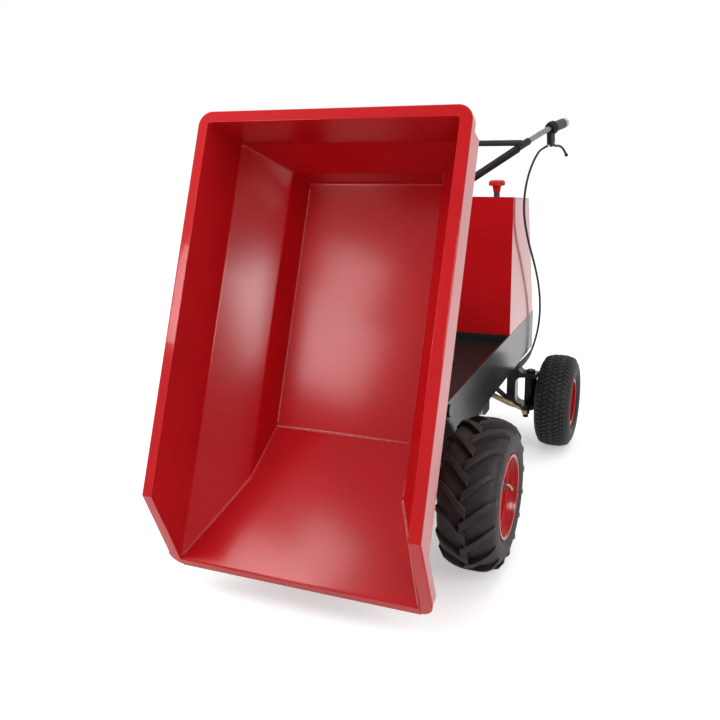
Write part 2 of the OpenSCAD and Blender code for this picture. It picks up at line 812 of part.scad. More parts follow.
module rim_section(seat_r, half_w) {
    side_z = half_w * tyre_outer_shares[0].x + bead_gap;
    seat_z = half_w * tyre_inner_shares[len(tyre_inner_shares) - 1].x;
    well_r = seat_r - 5 * rim_sheet;
    edge_r = seat_r + rim_lip_h;
    edge_z = side_z + rim_flange_t;
    outer = [[edge_r, edge_z], [edge_r, side_z], [seat_r, side_z], [seat_r, seat_z - rim_sheet],
        [well_r, seat_z - 4 * rim_sheet]];
    inner = [[well_r - rim_sheet, seat_z - 3 * rim_sheet], [seat_r - rim_sheet, seat_z],
        [seat_r - rim_sheet, edge_z]];
    polygon(concat(outer, flipped(outer), flipped(inner), inner));
}

// Inner face of a wheel's disc, set where the disc meets the rim's well
function disc_z(half_w) = half_w * tyre_inner_shares[len(tyre_inner_shares) - 1].x - disc_inset;

module front_rim(side) color(red) at_front(side) {
    rotate_extrude() rim_section(front_rim_d / 2, front_tyre_w / 2);
    translate([0, 0, disc_z(front_tyre_w / 2)])
        ring(front_rim_d - 2 * disc_inset, hub_nose_d + 2 * run_gap, disc_t);
}

module left_front_rim() front_rim(1);

module right_front_rim() front_rim(-1);

module front_hub(side) color(silver) at_front(side) {
    nose_z = disc_z(front_tyre_w / 2);
    translate([0, 0, shaft_in - front_x + over]) cylinder(d = shaft_d, h = front_x - shaft_in - over + nose_z);
    translate([0, 0, nose_z - hub_flange_t]) cylinder(d = hub_flange_d, h = hub_flange_t);
    translate([0, 0, nose_z]) cylinder(d = hub_nose_d, h = disc_t + hub_nose_h);
    translate([0, 0, nose_z + disc_t + hub_nose_h]) hex(end_bolt_d, end_bolt_h);
}

module left_front_hub() front_hub(1);

module right_front_hub() front_hub(-1);

module rear_rim(side) color(red) at_rear(side) {
    rotate_extrude() rim_section(rear_rim_d / 2, rear_tyre_w / 2);
    translate([0, 0, disc_z(rear_tyre_w / 2)]) ring(rear_rim_d - 2 * disc_inset, rear_hub_d - over, disc_t);
    translate([0, 0, -rear_hub_w / 2]) ring(rear_hub_d, rear_bearing_d + 2 * run_gap, rear_hub_w);
}

module left_rear_rim() rear_rim(1);

module right_rear_rim() rear_rim(-1);

module rear_bearings(side) color(silver) at_rear(side) for (s = [-1, 1])
    translate([0, 0, s * bearing_place - bearing_w / 2]) ring(rear_bearing_d, stub_d + 2 * run_gap, bearing_w);

module left_rear_bearings() rear_bearings(1);

module right_rear_bearings() rear_bearings(-1);

// Housing
module housing_shell() color(red) placed() difference() {
    translate([-chassis_w / 2, 0, 0]) rotate([90, 0, 90]) linear_extrude(chassis_w)
        polygon([[housing_y, housing_z], [housing_y, lid_front_z - wall_t], [housing_rear_top - wall_t, panel_top_z],
            [housing_rear_foot - wall_t, housing_z]]);
    translate([wall_t - chassis_w / 2, housing_y + wall_t, housing_z - over])
        cube([chassis_w - 2 * wall_t, housing_foot_l, housing_h + 2 * over]);
}

module housing_lid() color(red) placed() difference() {
    translate([-chassis_w / 2, 0, 0]) rotate([90, 0, 90]) linear_extrude(chassis_w)
        polygon([[housing_y, lid_front_z - wall_t], [housing_y, lid_front_z],
            [housing_rear_top, lid_rear_z], [housing_rear_top, lid_rear_z - wall_t]]);
    translate([0, rear_y, lid_rear_z - 4 * over]) cylinder(d = boss_d + 2 * seat_gap, h = lid_fall + 8 * over);
    translate([knob_x, knob_y, knob_lid_z - 4 * over]) cylinder(d = stem_hole_d, h = 8 * over);
}

module rear_panel() color(red) placed() translate([-chassis_w / 2, 0, 0]) rotate([90, 0, 90])
    linear_extrude(chassis_w) polygon([[housing_rear_top - wall_t, panel_top_z],
        [housing_rear_top, lid_rear_z - wall_t], [housing_rear_foot, housing_z], [housing_rear_foot - wall_t, housing_z]]);

module upper_bearer() color(black) placed() difference() {
    union() {
        translate([wall_t - chassis_w / 2, rear_y - upper_plate_l / 2, upper_plate_z])
            cube([chassis_w - 2 * wall_t, upper_plate_l, rail_t]);
        translate([0, rear_y, boss_low]) cylinder(d = boss_d, h = boss_top - boss_low);
    }
    translate([0, rear_y, boss_low - over]) cylinder(d = bush_d + 2 * run_gap, h = boss_top - boss_low + 2 * over);
}

module batteries() color(black) placed() sides() for (i = [0, 1])
    translate([battery_x, housing_y + sill_t + i * battery_pitch, deck_z]) {
        cube([battery_w, battery_l, battery_h]);
        for (s = [1, 3]) translate([s * battery_w / 4, battery_l / 2, battery_h])
            cylinder(d = battery_post_d, h = battery_post_h);
    }

module controller() color(silver) placed() translate([-controller_w / 2, housing_y + wall_t, controller_z]) {
    cube([controller_w, controller_t, controller_h]);
    for (i = [0:controller_fins - 1]) translate([i * (controller_w - wall_t) / (controller_fins - 1), 0, 0])
        cube([wall_t, controller_fin_l, controller_h]);
}

module stop_switch() color(black) placed() difference() {
    intersection() {
        translate([knob_x - switch_w / 2, knob_y - switch_w / 2, knob_lid_z - wall_t - switch_h])
            cube([switch_w, switch_w, 2 * switch_h]);
        rotate([90, 0, 90]) linear_extrude(chassis_w / 2)
            polygon([[housing_y, housing_z], [housing_y, lid_front_z - wall_t], [housing_rear_top, lid_rear_z - wall_t],
                [housing_rear_top, housing_z]]);
    }
    translate([knob_x, knob_y, knob_lid_z - wall_t - switch_h - over])
        cylinder(d = stem_rod_d + 2 * run_gap, h = 2 * switch_h);
    translate([knob_x, knob_y, knob_lid_z - wall_t - switch_drop]) cylinder(d = stem_hole_d, h = 2 * switch_h);
}

module stop_knob() color(red) placed() translate([knob_x, knob_y, knob_lid_z + stem_h]) rotate_extrude()
    polygon([[0, 0], [knob_foot_d / 2, 0], [knob_neck_d / 2, knob_neck_h], [knob_cap_d / 2, knob_neck_h],
        [knob_cap_d / 2, knob_neck_h + knob_edge_h], [knob_edge_d / 2, knob_neck_h + knob_cap_h],
        [0, knob_neck_h + knob_cap_h]]);

module knob_stem() color(black) placed() translate([knob_x, knob_y, knob_lid_z]) {
    translate([0, 0, -stem_sink]) cylinder(d = stem_d, h = stem_h + stem_sink);
    translate([0, 0, -stem_rod_l]) cylinder(d = stem_rod_d, h = stem_rod_l);
}

// Handlebar
module slope_tube() translate([0, bar_y, slope_start_z]) rotate([0, 90 - slope_angle, 0])
    cylinder(d = slope_tube_d, h = crossbar_x / cos(slope_angle));

module bar_lug() translate([crossbar_x, bar_y - lug_len / 2, lug_z]) rod_y(lug_d, lug_len);

module handlebar_frame() color(black) placed() difference() {
    union() {
        sides() {
            slope_tube();
            bar_lug();
        }
        translate([-crossbar_x, bar_y, crossbar_z]) rod_x(crossbar_d, 2 * crossbar_x);
        translate([0, bar_y, head_low]) cylinder(d = head_d, h = head_h);
    }
    translate([0, bar_y, head_low - 4 * over])
        cylinder(d = column_d + 2 * run_gap, h = column_top - head_low + 4 * over);
}

module handle_tubes() color(silver) placed() sides() difference() {
    union() {
        translate(handle_start) rotate([0, -handle_el, handle_az]) rod_x(handle_d, handle_len);
        translate(grip_start) sphere(d = bend_d);
        at_grip() rod_x(handle_d, grip_len - cap_t);
    }
    bar_lug();
}

module grip_body() difference() {
    union() {
        translate([grip_place, 0, 0]) rod_x(grip_d, grip_len - grip_place);
        translate([grip_place, 0, 0]) rod_x(grip_d + 2 * grip_collar_h, grip_rib_t);
        for (i = [1:grip_ribs]) translate([grip_place + i * (grip_len - grip_place) / (grip_ribs + 1), 0, 0])
            rod_x(grip_d + 2 * grip_rib_h, grip_rib_t);
    }
    rod_x(handle_d + 2 * run_gap, grip_len - cap_t + seat_gap);
}

module left_grip() color(rubber) placed() at_grip() grip_body();

module throttle_grip() color(rubber) placed() on_side(-1) at_grip() grip_body();

module lever_perch() difference() {
    union() {
        translate([clamp_place, 0, 0]) rod_x(clamp_d, clamp_w);
        translate([perch_place, -perch_y / 2, -perch_drop]) cube([perch_w, perch_y, perch_drop]);
    }
    translate([perch_place - over, 0, 0]) rod_x(handle_d + 2 * run_gap, perch_w + 2 * over);
    translate([perch_place + perch_front_t, -perch_slot / 2, lever_z - slot_h / 2])
        cube([perch_w, perch_slot, slot_h]);
    translate([lever_x, -perch_y, lever_z]) rod_y(lever_pin_d + 2 * run_gap, 2 * perch_y);
}

module bar_clamps() color(black) placed() {
    at_grip() lever_perch();
    on_side(-1) at_grip() translate([clamp_place, 0, 0]) difference() {
        rod_x(throttle_box_d, throttle_box_w);
        translate([-over, 0, 0]) rod_x(handle_d + 2 * run_gap, throttle_box_w + 2 * over);
    }
}

module lever_fittings() color(silver) placed() at_grip() {
    translate([lever_x, -perch_y / 2 - lever_pin_over, lever_z]) rod_y(lever_pin_d, perch_y + 2 * lever_pin_over);
    translate([perch_place - adjuster_l, 0, adjuster_z]) rod_x(adjuster_d, adjuster_l);
}

// One edge of the bent blade, half its width off the middle line
function step_dir(i) = unit(lever_steps[i + 1] - lever_steps[i]);
function step_mean(i) = unit(step_dir(max(i - 1, 0)) + step_dir(min(i, len(lever_steps) - 2)));
function step_off(i) = lever_w / 2 / (step_mean(i) * step_dir(min(i, len(lever_steps) - 2)));
function blade_edge(side) = [for (i = [0:len(lever_steps) - 1])
    lever_steps[i] + side * step_off(i) * [-step_mean(i).y, step_mean(i).x]];

module lever_blade() {
    low = blade_edge(-1);
    circle(d = lever_hub_d);
    polygon(concat(blade_edge(1), [for (i = [len(low) - 1:-1:0]) low[i]]));
}

module brake_lever() color(black) placed() at_grip() translate([lever_x, 0, lever_z]) {
    tip = lever_steps[len(lever_steps) - 1];
    difference() {
        translate([0, lever_t / 2, 0]) rotate([90, 0, 0]) linear_extrude(lever_t) lever_blade();
        translate([0, -lever_t, 0]) rod_y(lever_pin_d + 2 * run_gap, 2 * lever_t);
    }
    translate([tip.x, 0, tip.y]) sphere(d = lever_ball_d);
}

// Brake cable, swept along its route
function unit(v) = v / norm(v);
function route_dir(p, i) = unit(p[min(i + 1, len(p) - 1)] - p[max(i - 1, 0)]);
function side_of(d) = unit(cross(d, [1, 0, 0]));

module swept_tube(route, d, n) {
    points = [for (i = [0:len(route) - 1]) let (t = route_dir(route, i), a = side_of(t), b = cross(t, a))
        each [for (k = [0:n - 1]) route[i] + d / 2 * (cos(k * 360 / n) * a + sin(k * 360 / n) * b)]];
    last = len(route) - 1;
    walls = [for (i = [0:last - 1], k = [0:n - 1]) let (m = (k + 1) % n)
        each [[i * n + k, (i + 1) * n + m, i * n + m], [i * n + k, (i + 1) * n + k, (i + 1) * n + m]]];
    polyhedron(points, concat([[for (k = [0:n - 1]) k]], walls, [[for (k = [0:n - 1]) last * n + n - 1 - k]]));
}

module brake_cable() color(black) placed() swept_tube(cable_route, cable_d, cable_sides);

// Bucket
function skip_ring(half, back, front, z) = [[-half, back, z], [half, back, z], [half, -front, z], [-half, -front, z]];

module ring_solid(rings) {
    n = len(rings);
    walls = [for (i = [0:n - 2], k = [0:3]) [i * 4 + k, i * 4 + (k + 1) % 4, i * 4 + 4 + (k + 1) % 4, i * 4 + 4 + k]];
    polyhedron([for (r = rings) each r], concat([[3, 2, 1, 0]], walls, [[for (k = [0:3]) n * 4 - 4 + k]]));
}

module skip_outside() {
    ring_solid([
        skip_ring(half_floor + sheet_t, sheet_t, floor_l + front_skin / 2, -sheet_t),
        skip_ring(half_low + skin, low_back + sheet_t, low_front + front_skin, low_fold_h),
        skip_ring(half_high + skin, rear_lean + sheet_t, lip_l + front_skin, high_fold_h)]);
    ring_solid([
        skip_ring(half_high + skin, rear_lean + sheet_t, lip_l, high_fold_h),
        skip_ring(half_mouth + sheet_t, rim_back + sheet_t, turn_l, bucket_h)]);
}

module skip_inside() {
    ring_solid([
        skip_ring(half_floor, 0, floor_l, 0),
        skip_ring(half_low, low_back, low_front, low_fold_h),
        skip_ring(half_high, rear_lean, lip_l, high_fold_h)]);
    ring_solid([
        skip_ring(half_high, rear_lean, lip_l + rim_w, high_fold_h),
        skip_ring(half_mouth + mouth_grow, rim_back - back_grow, lip_l + rim_w, bucket_h + over)]);
}

module bucket_shell() color(red) tipped() difference() {
    skip_outside();
    skip_inside();
}

// A quarter of a round corner, cut off square at both ends
module quarter(r, bore, h) intersection() {
    difference() {
        cylinder(r = r, h = h);
        if (bore > 0) translate([0, 0, -over]) cylinder(r = bore, h = h + 2 * over);
    }
    cube([r, r, h]);
}

// A line along one side of the rim, from the rear corner down to the lip, lifted by an offset
function rim_line(off) = [[rim_corner_y, bucket_h + off], [-turn_l - off * tan(drop_angle / 2), bucket_h + off],
    [-lip_l - off * sin(drop_angle) - sheet_t * cos(drop_angle),
        high_fold_h + off * cos(drop_angle) - sheet_t * sin(drop_angle)]];

module rim_side(x, t, low) translate([x, 0, 0]) rotate([90, 0, 90]) linear_extrude(t) {
    under = rim_line(low);
    polygon(concat(rim_line(sheet_t), [for (i = [len(under) - 1:-1:0]) under[i]]));
}

// The flange round the mouth, on one side
module rim_flange() {
    translate([0, rim_back, bucket_h]) cube([rim_corner_x, rim_w - sheet_t, sheet_t]);
    rim_side(half_mouth, rim_w - sheet_t, 0);
    difference() {
        translate([rim_corner_x, rim_corner_y, bucket_h]) quarter(rim_r - sheet_t, 0, sheet_t);
        translate([0, -turn_l, bucket_h - over]) cube([half_mouth, turn_l + rim_back, sheet_t + 2 * over]);
    }
}

// The flange's turned-down edge, on one side
module rim_edge() {
    translate([0, rim_corner_y + rim_r - sheet_t, bucket_h - rim_drop])
        cube([rim_corner_x, sheet_t, rim_drop + sheet_t]);
    rim_side(rim_out - sheet_t, sheet_t, -rim_drop);
    translate([rim_corner_x, rim_corner_y, bucket_h - rim_drop])
        quarter(rim_r, rim_r - sheet_t, rim_drop + sheet_t);
}

module bucket_rim() color(red) tipped() {
    sides() {
        rim_flange();
        rim_edge();
    }
    translate([-rim_out, -lip_l - lip_h, high_fold_h]) cube([2 * rim_out, lip_h, sheet_t]);
}

module bucket_ribs() color(red) tipped() {
    sides() translate([rib_x, -floor_l, -rib_h]) difference() {
        cube([rib_w, floor_l - rib_start, rib_h - sheet_t]);
        translate([rib_t, -over, rib_t]) cube([rib_w - 2 * rib_t, floor_l + 2 * over, rib_h]);
    }
    translate([-rib_x, -striker_l, -striker_drop]) rod_x(striker_d, 2 * rib_x);
}

module lug_shape() {
    circle(d = hinge_lug_d);
    polygon([[-hinge_lug_d / 2, 0], [hinge_lug_d / 2, 0], [hinge_lug_foot / 2, pivot_drop - sheet_t],
        [-hinge_lug_foot / 2, pivot_drop - sheet_t]]);
}

module hinge_lugs() color(red) tipped() sides() translate([rib_x + rib_w, -pivot_l, -pivot_drop]) difference() {
    rotate([90, 0, 90]) linear_extrude(lug_plate_t) lug_shape();
    translate([-over, 0, 0]) rod_x(pin_d + 2 * bush_wall + 2 * run_gap, lug_plate_t + 2 * over);
}

module hinge_bushes() color(bronze) tipped() sides() translate([rib_x + rib_w, -pivot_l, -pivot_drop])
    rotate([0, 90, 0]) ring(pin_d + 2 * bush_wall, pin_d + 2 * run_gap, lug_plate_t);

side_rails();
deck_plate();
cross_members();
bump_stops();
hinge_pin();
latch_brackets();
steering_bearer();
column_bushes();
axle_housing();
gear_case();
drive_motor();
axle_hangers();
axle_fasteners();
axle_stays();
brake_drum();
axle_braces();
axle_forks();
kingpins();
housing_shell();
housing_lid();
rear_panel();
upper_bearer();
batteries();
controller();
stop_switch();
brake_cable();
bucket_shell();
bucket_rim();
bucket_ribs();
hinge_lugs();
hinge_bushes();
latch_lever();
left_front_tyre();
right_front_tyre();
left_front_rim();
right_front_rim();
left_front_hub();
right_front_hub();
left_rear_tyre();
right_rear_tyre();
left_rear_rim();
right_rear_rim();
left_rear_bearings();
right_rear_bearings();
left_knuckle();
right_knuckle();
left_tie_rod();
right_tie_rod();
steering_column();
pitman_arm();
handlebar_frame();
handle_tubes();
left_grip();
bar_clamps();
lever_fittings();
throttle_grip();
brake_lever();
stop_knob();
knob_stem();
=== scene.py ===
"""Dressed model of a walk-behind four-wheel dumper with its bucket tipped forward.

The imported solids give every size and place. Each class below builds the visible pieces of one
sub-assembly over its solids, gives them a finish and ties them to the body that they move with.
Lengths are metres in the part's own frame: +Z up, -Y ahead, +X to the operator's left.
"""
from __future__ import annotations

import json
import logging
import math
from dataclasses import dataclass
from enum import Enum
from typing import Any, Callable, Sequence

import bmesh
import bpy
from mathutils import Matrix, Vector

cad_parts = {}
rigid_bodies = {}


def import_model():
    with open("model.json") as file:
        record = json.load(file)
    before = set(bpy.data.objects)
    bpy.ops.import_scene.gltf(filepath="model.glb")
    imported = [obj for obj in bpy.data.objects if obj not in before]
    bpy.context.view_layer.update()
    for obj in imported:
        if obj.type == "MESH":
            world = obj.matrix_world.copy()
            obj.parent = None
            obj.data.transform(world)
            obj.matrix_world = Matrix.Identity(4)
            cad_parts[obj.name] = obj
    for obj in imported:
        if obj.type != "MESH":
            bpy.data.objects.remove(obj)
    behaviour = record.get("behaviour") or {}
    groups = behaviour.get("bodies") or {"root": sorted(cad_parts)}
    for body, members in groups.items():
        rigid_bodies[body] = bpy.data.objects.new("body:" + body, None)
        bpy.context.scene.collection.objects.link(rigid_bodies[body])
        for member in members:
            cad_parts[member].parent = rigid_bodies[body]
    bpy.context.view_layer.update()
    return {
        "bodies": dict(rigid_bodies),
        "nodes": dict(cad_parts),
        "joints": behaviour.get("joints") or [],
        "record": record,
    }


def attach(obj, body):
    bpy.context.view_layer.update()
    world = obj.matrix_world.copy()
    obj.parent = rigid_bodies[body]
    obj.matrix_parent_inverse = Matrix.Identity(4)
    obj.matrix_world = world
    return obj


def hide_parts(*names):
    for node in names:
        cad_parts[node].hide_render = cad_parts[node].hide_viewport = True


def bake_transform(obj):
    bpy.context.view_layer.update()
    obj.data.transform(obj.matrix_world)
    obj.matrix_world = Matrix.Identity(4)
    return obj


LOG = logging.getLogger("dumper")
MM = 0.001
# Millimetres from the front axle back to the part's middle and to the rear axle
MIDDLE = 361.268104
WHEELBASE = 922
# Left grip in metres: where its tube bends, the way along it and the way up across it
GRIP_BEND = Vector((0.290, 0.689732, 1.109114))
GRIP_ALONG = Vector((0.236365, 0.961575, 0.139670))
GRIP_UP = Vector((-0.033340, -0.135632, 0.990198))
# Points closer than this are one point
NEAR = 1e-5
# Largest share of a side that a rounded corner takes
CORNER_SHARE = 0.48
Outline = list[tuple[float, float]]
Pairs = tuple[tuple[float, float], ...]
Ring = tuple[float, float, float, float]
Triple = tuple[float, float, float]


def spot(x: float, y: float, z: float) -> Vector:
    """Turn a place on the machine into the part's frame.

    Args:
        x: Millimetres to the operator's left of the middle.
        y: Millimetres behind the front axle.
        z: Millimetres above the ground.

    Returns:
        The same place in metres.
    """
    return Vector((x * MM, (y - MIDDLE) * MM, z * MM))


def mirrored(vector: Vector, side: int) -> Vector:
    """Give a place or a way on the left as it is on a side: 1 for the left, -1 for the right."""
    return Vector((vector.x * side, vector.y, vector.z))


def rounded(corners: Sequence[tuple[float, float]], radii: Sequence[float], steps: int = 4) -> Outline:
    """Round the corners of a closed outline.

    Args:
        corners: Corner points in order.
        radii: Radius at each corner, 0 to keep it sharp.
        steps: Pieces that a rounded corner is cut into.

    Returns:
        The points of the rounded outline.
    """
    points: Outline = []
    count = len(corners)
    for index, corner in enumerate(corners):
        here = Vector(corner)
        before = Vector(corners[index - 1]) - here
        after = Vector(corners[(index + 1) % count]) - here
        if radii[index] <= 0.0:
            points.append((here.x, here.y))
            continue
        half = before.angle(after) / 2.0
        most = CORNER_SHARE * min(before.length, after.length)
        reach = min(radii[index] / math.tan(half), most)
        first = here + before.normalized() * reach
        last = here + after.normalized() * reach
        for step in range(steps + 1):
            t = step / steps
            bend = first * (1 - t) ** 2 + here * 2 * t * (1 - t) + last * t ** 2
            points.append((bend.x, bend.y))
    return points


def section(corners: Sequence[tuple[float, float]], radii: Sequence[float], steps: int) -> Outline:
    """Round a turned piece's section, given in millimetres, and give it in metres."""
    return [(radius * MM, along * MM) for radius, along in rounded(corners, radii, steps)]


def eased(points: Sequence[Vector], steps: int) -> list[Vector]:
    """Draw a smooth line through points.

    Args:
        points: Points that the line passes through.
        steps: Pieces between two of them.

    Returns:
        The points of the smooth line.
    """
    line: list[Vector] = []
    last = len(points) - 1
    for index in range(last):
        a, b = points[max(index - 1, 0)], points[index]
        c, d = points[index + 1], points[min(index + 2, last)]
        for step in range(steps):
            t = step / steps
            line.append(0.5 * (2 * b + (c - a) * t + (2 * a - 5 * b + 4 * c - d) * t ** 2
                               + (3 * b - a - 3 * c + d) * t ** 3))
    line.append(points[last].copy())
    return line


class Kind(Enum):
    """Kind of mesh element that is selected."""

    VERT = "VERT"
    EDGE = "EDGE"
    FACE = "FACE"


class Bench:
    """Plain modelling moves on top of the operators."""

    @staticmethod
    def clear() -> None:
        """Leave edit mode and deselect everything."""
        active = bpy.context.view_layer.objects.active
        if active is not None and active.mode != "OBJECT":
            bpy.ops.object.mode_set(mode="OBJECT")
        bpy.ops.object.select_all(action="DESELECT")

    @staticmethod
    def take(piece: bpy.types.Object) -> None:
        """Select one piece alone and make it the active one."""
        Bench.clear()
        piece.select_set(True)
        bpy.context.view_layer.objects.active = piece

    @staticmethod
    def pick(piece: bpy.types.Object, kind: Kind, test: Callable[[Any], bool]) -> None:
        """Open a piece in edit mode with some of its elements selected.

        Args:
            piece: Piece to open.
            kind: Kind of element.
            test: Says of each element whether it is selected.
        """
        Bench.take(piece)
        bpy.ops.object.mode_set(mode="EDIT")
        bpy.ops.mesh.select_mode(type=kind.value)
        bpy.ops.mesh.select_all(action="DESELECT")
        shape = bmesh.from_edit_mesh(piece.data)
        items = {Kind.VERT: shape.verts, Kind.EDGE: shape.edges, Kind.FACE: shape.faces}[kind]
        for item in items:
            if test(item):
                item.select_set(True)
        shape.select_flush_mode()
        bmesh.update_edit_mesh(piece.data)

    @staticmethod
    def pick_all(piece: bpy.types.Object, kind: Kind = Kind.VERT) -> None:
        """Open a piece in edit mode with everything selected."""
        Bench.pick(piece, kind, lambda item: True)

    @staticmethod
    def done() -> None:
        """Go back to object mode."""
        bpy.ops.object.mode_set(mode="OBJECT")

    @staticmethod
    def modify(piece: bpy.types.Object, kind: str, **settings: Any) -> None:
        """Add a modifier and apply it.

        Args:
            piece: Piece that gets it.
            kind: Kind of modifier.
            settings: Its settings.
        """
        Bench.take(piece)
        modifier = piece.modifiers.new(kind.title(), kind)
        for key, value in settings.items():
            setattr(modifier, key, value)
        bpy.ops.object.modifier_apply(modifier=modifier.name)

    @staticmethod
    def clean(piece: bpy.types.Object, gap: float = NEAR) -> None:
        """Merge double points and turn all faces outwards."""
        Bench.pick_all(piece)
        bpy.ops.mesh.remove_doubles(threshold=gap)
        bpy.ops.mesh.normals_make_consistent(inside=False)
        Bench.done()

    @staticmethod
    def smooth(piece: bpy.types.Object, degrees: float = 35.0) -> None:
        """Shade a piece smooth except across sharp edges, and keep its large faces flat."""
        Bench.take(piece)
        bpy.ops.object.shade_smooth_by_angle(angle=math.radians(degrees))
        Bench.modify(piece, "WEIGHTED_NORMAL", weight=100, keep_sharp=True)

    @staticmethod
    def bevelled(piece: bpy.types.Object, width: float, segments: int, degrees: float,
                 miter: str = "MITER_SHARP") -> None:
        """Round the edges of a piece that are sharper than an angle.

        Args:
            piece: Piece to round.
            width: Width of the rounded edges.
            segments: Pieces across a rounded edge.
            degrees: Least angle between the faces.
            miter: How rounded edges meet on the outside of a corner.
        """
        Bench.modify(piece, "BEVEL", width=width, segments=segments, limit_method="ANGLE",
                     angle_limit=math.radians(degrees), miter_outer=miter)

    @staticmethod
    def loop(name: str, points: Sequence[Sequence[float]]) -> bpy.types.Object:
        """Add a bare ring of points and lay it out as an outline."""
        Bench.clear()
        bpy.ops.mesh.primitive_circle_add(vertices=len(points), radius=1.0, fill_type="NOTHING")
        piece = bpy.context.object
        piece.name = name
        for vertex, point in zip(piece.data.vertices, points):
            vertex.co = point
        return piece

    @staticmethod
    def spun(name: str, outline: Outline, steps: int, place: Vector, side: int = 1) -> bpy.types.Object:
        """Spin a closed outline once round the X axis.

        Args:
            name: Name of the piece.
            outline: Radius and place along the axis of each point.
            steps: Pieces in a full turn.
            place: Middle of the turn.
            side: -1 to mirror the outline along the axis.

        Returns:
            The closed piece.
        """
        piece = Bench.loop(name, [(along * side, 0.0, radius) for radius, along in outline])
        Bench.pick_all(piece)
        bpy.ops.mesh.spin(steps=steps, angle=2 * math.pi, center=(0, 0, 0), axis=(1, 0, 0))
        Bench.done()
        Bench.clean(piece)
        piece.data.transform(Matrix.Translation(place))
        return piece

    @staticmethod
    def swept(name: str, sections: Sequence[Sequence[Vector]]) -> bpy.types.Object:
        """Pull an outline from section to section and close both ends.

        Args:
            name: Name of the piece.
            sections: Points of each section, the same number in each.

        Returns:
            The closed piece.
        """
        piece = Bench.loop(name, sections[0])
        Bench.pick_all(piece, Kind.EDGE)
        shape = bmesh.from_edit_mesh(piece.data)
        mark = shape.verts.layers.int.new("place")
        for index, vertex in enumerate(shape.verts):
            vertex[mark] = index
        bmesh.update_edit_mesh(piece.data)
        for points in sections[1:]:
            bpy.ops.mesh.extrude_edges_move()
            shape = bmesh.from_edit_mesh(piece.data)
            mark = shape.verts.layers.int["place"]
            for vertex in shape.verts:
                if vertex.select:
                    vertex.co = points[vertex[mark]]
            bmesh.update_edit_mesh(piece.data)
        bpy.ops.mesh.select_all(action="SELECT")
        bpy.ops.mesh.fill_holes(sides=0)
        Bench.done()
        Bench.clean(piece, 1e-7)
        return piece

    @staticmethod
    def plate(name: str, outline: Outline, thick: float, edge: float) -> bpy.types.Object:
        """Cut a flat plate in the XY plane and break its edges.

        Args:
            name: Name of the piece.
            outline: Outline of the plate.
            thick: Thickness, upwards from z = 0.
            edge: Width of the broken edges.

        Returns:
            The closed plate.
        """
        piece = Bench.loop(name, [(x, y, 0.0) for x, y in outline])
        Bench.pick_all(piece, Kind.EDGE)
        bpy.ops.mesh.edge_face_add()
        bpy.ops.mesh.extrude_region_move(TRANSFORM_OT_translate={"value": (0, 0, thick)})
        Bench.done()
        Bench.clean(piece)
        Bench.bevelled(piece, edge, 2, 50)
        return piece

    @staticmethod
    def repeated(piece: bpy.types.Object, count: int) -> None:
        """Copy a piece round the X axis, so that there are as many as counted."""
        Bench.pick_all(piece)
        bpy.ops.mesh.spin(steps=count - 1, dupli=True, angle=2 * math.pi * (count - 1) / count,
                          center=(0, 0, 0), axis=(1, 0, 0))
        Bench.done()

    @staticmethod
    def softened(node: bpy.types.Object, name: str, width: float, segments: int = 2,
                 play: float = 0.0) -> bpy.types.Object:
        """Copy a solid's mesh, merge it and round its sharp edges.

        Args:
            node: Solid to copy.
            name: Name of the new piece.
            width: Width of the rounded edges.
            segments: Pieces across a rounded edge.
            play: Distance that every face draws in.

        Returns:
            The softened copy.
        """
        piece = bpy.data.objects.new(name, node.data.copy())
        bpy.context.scene.collection.objects.link(piece)
        piece.data.materials.clear()
        Bench.pick_all(piece)
        bpy.ops.mesh.remove_doubles(threshold=NEAR)
        bpy.ops.mesh.dissolve_limited(angle_limit=math.radians(1.5))
        if play:
            bpy.ops.transform.shrink_fatten(value=-play, use_even_offset=True)
        Bench.done()
        Bench.bevelled(piece, width, segments, 40, "MITER_ARC")
        Bench.smooth(piece, 32.0)
        return piece

    @staticmethod
    def joined(pieces: Sequence[bpy.types.Object], name: str) -> bpy.types.Object:
        """Join pieces into the first one."""
        Bench.clear()
        for piece in pieces:
            piece.select_set(True)
        bpy.context.view_layer.objects.active = pieces[0]
        bpy.ops.object.join()
        pieces[0].name = name
        return pieces[0]


# Ranges of the noise that carry the blotches and the grain, and of the pointiness that counts as a
# rubbed edge, which on the weld beads carries a painted highlight
BLOTCHES = (0.38, 0.66)
GRAINS = (0.3, 0.7)
WEAR_AND_GLINT = (0.52, 0.62)
COAT_ROUGHNESS = 0.05


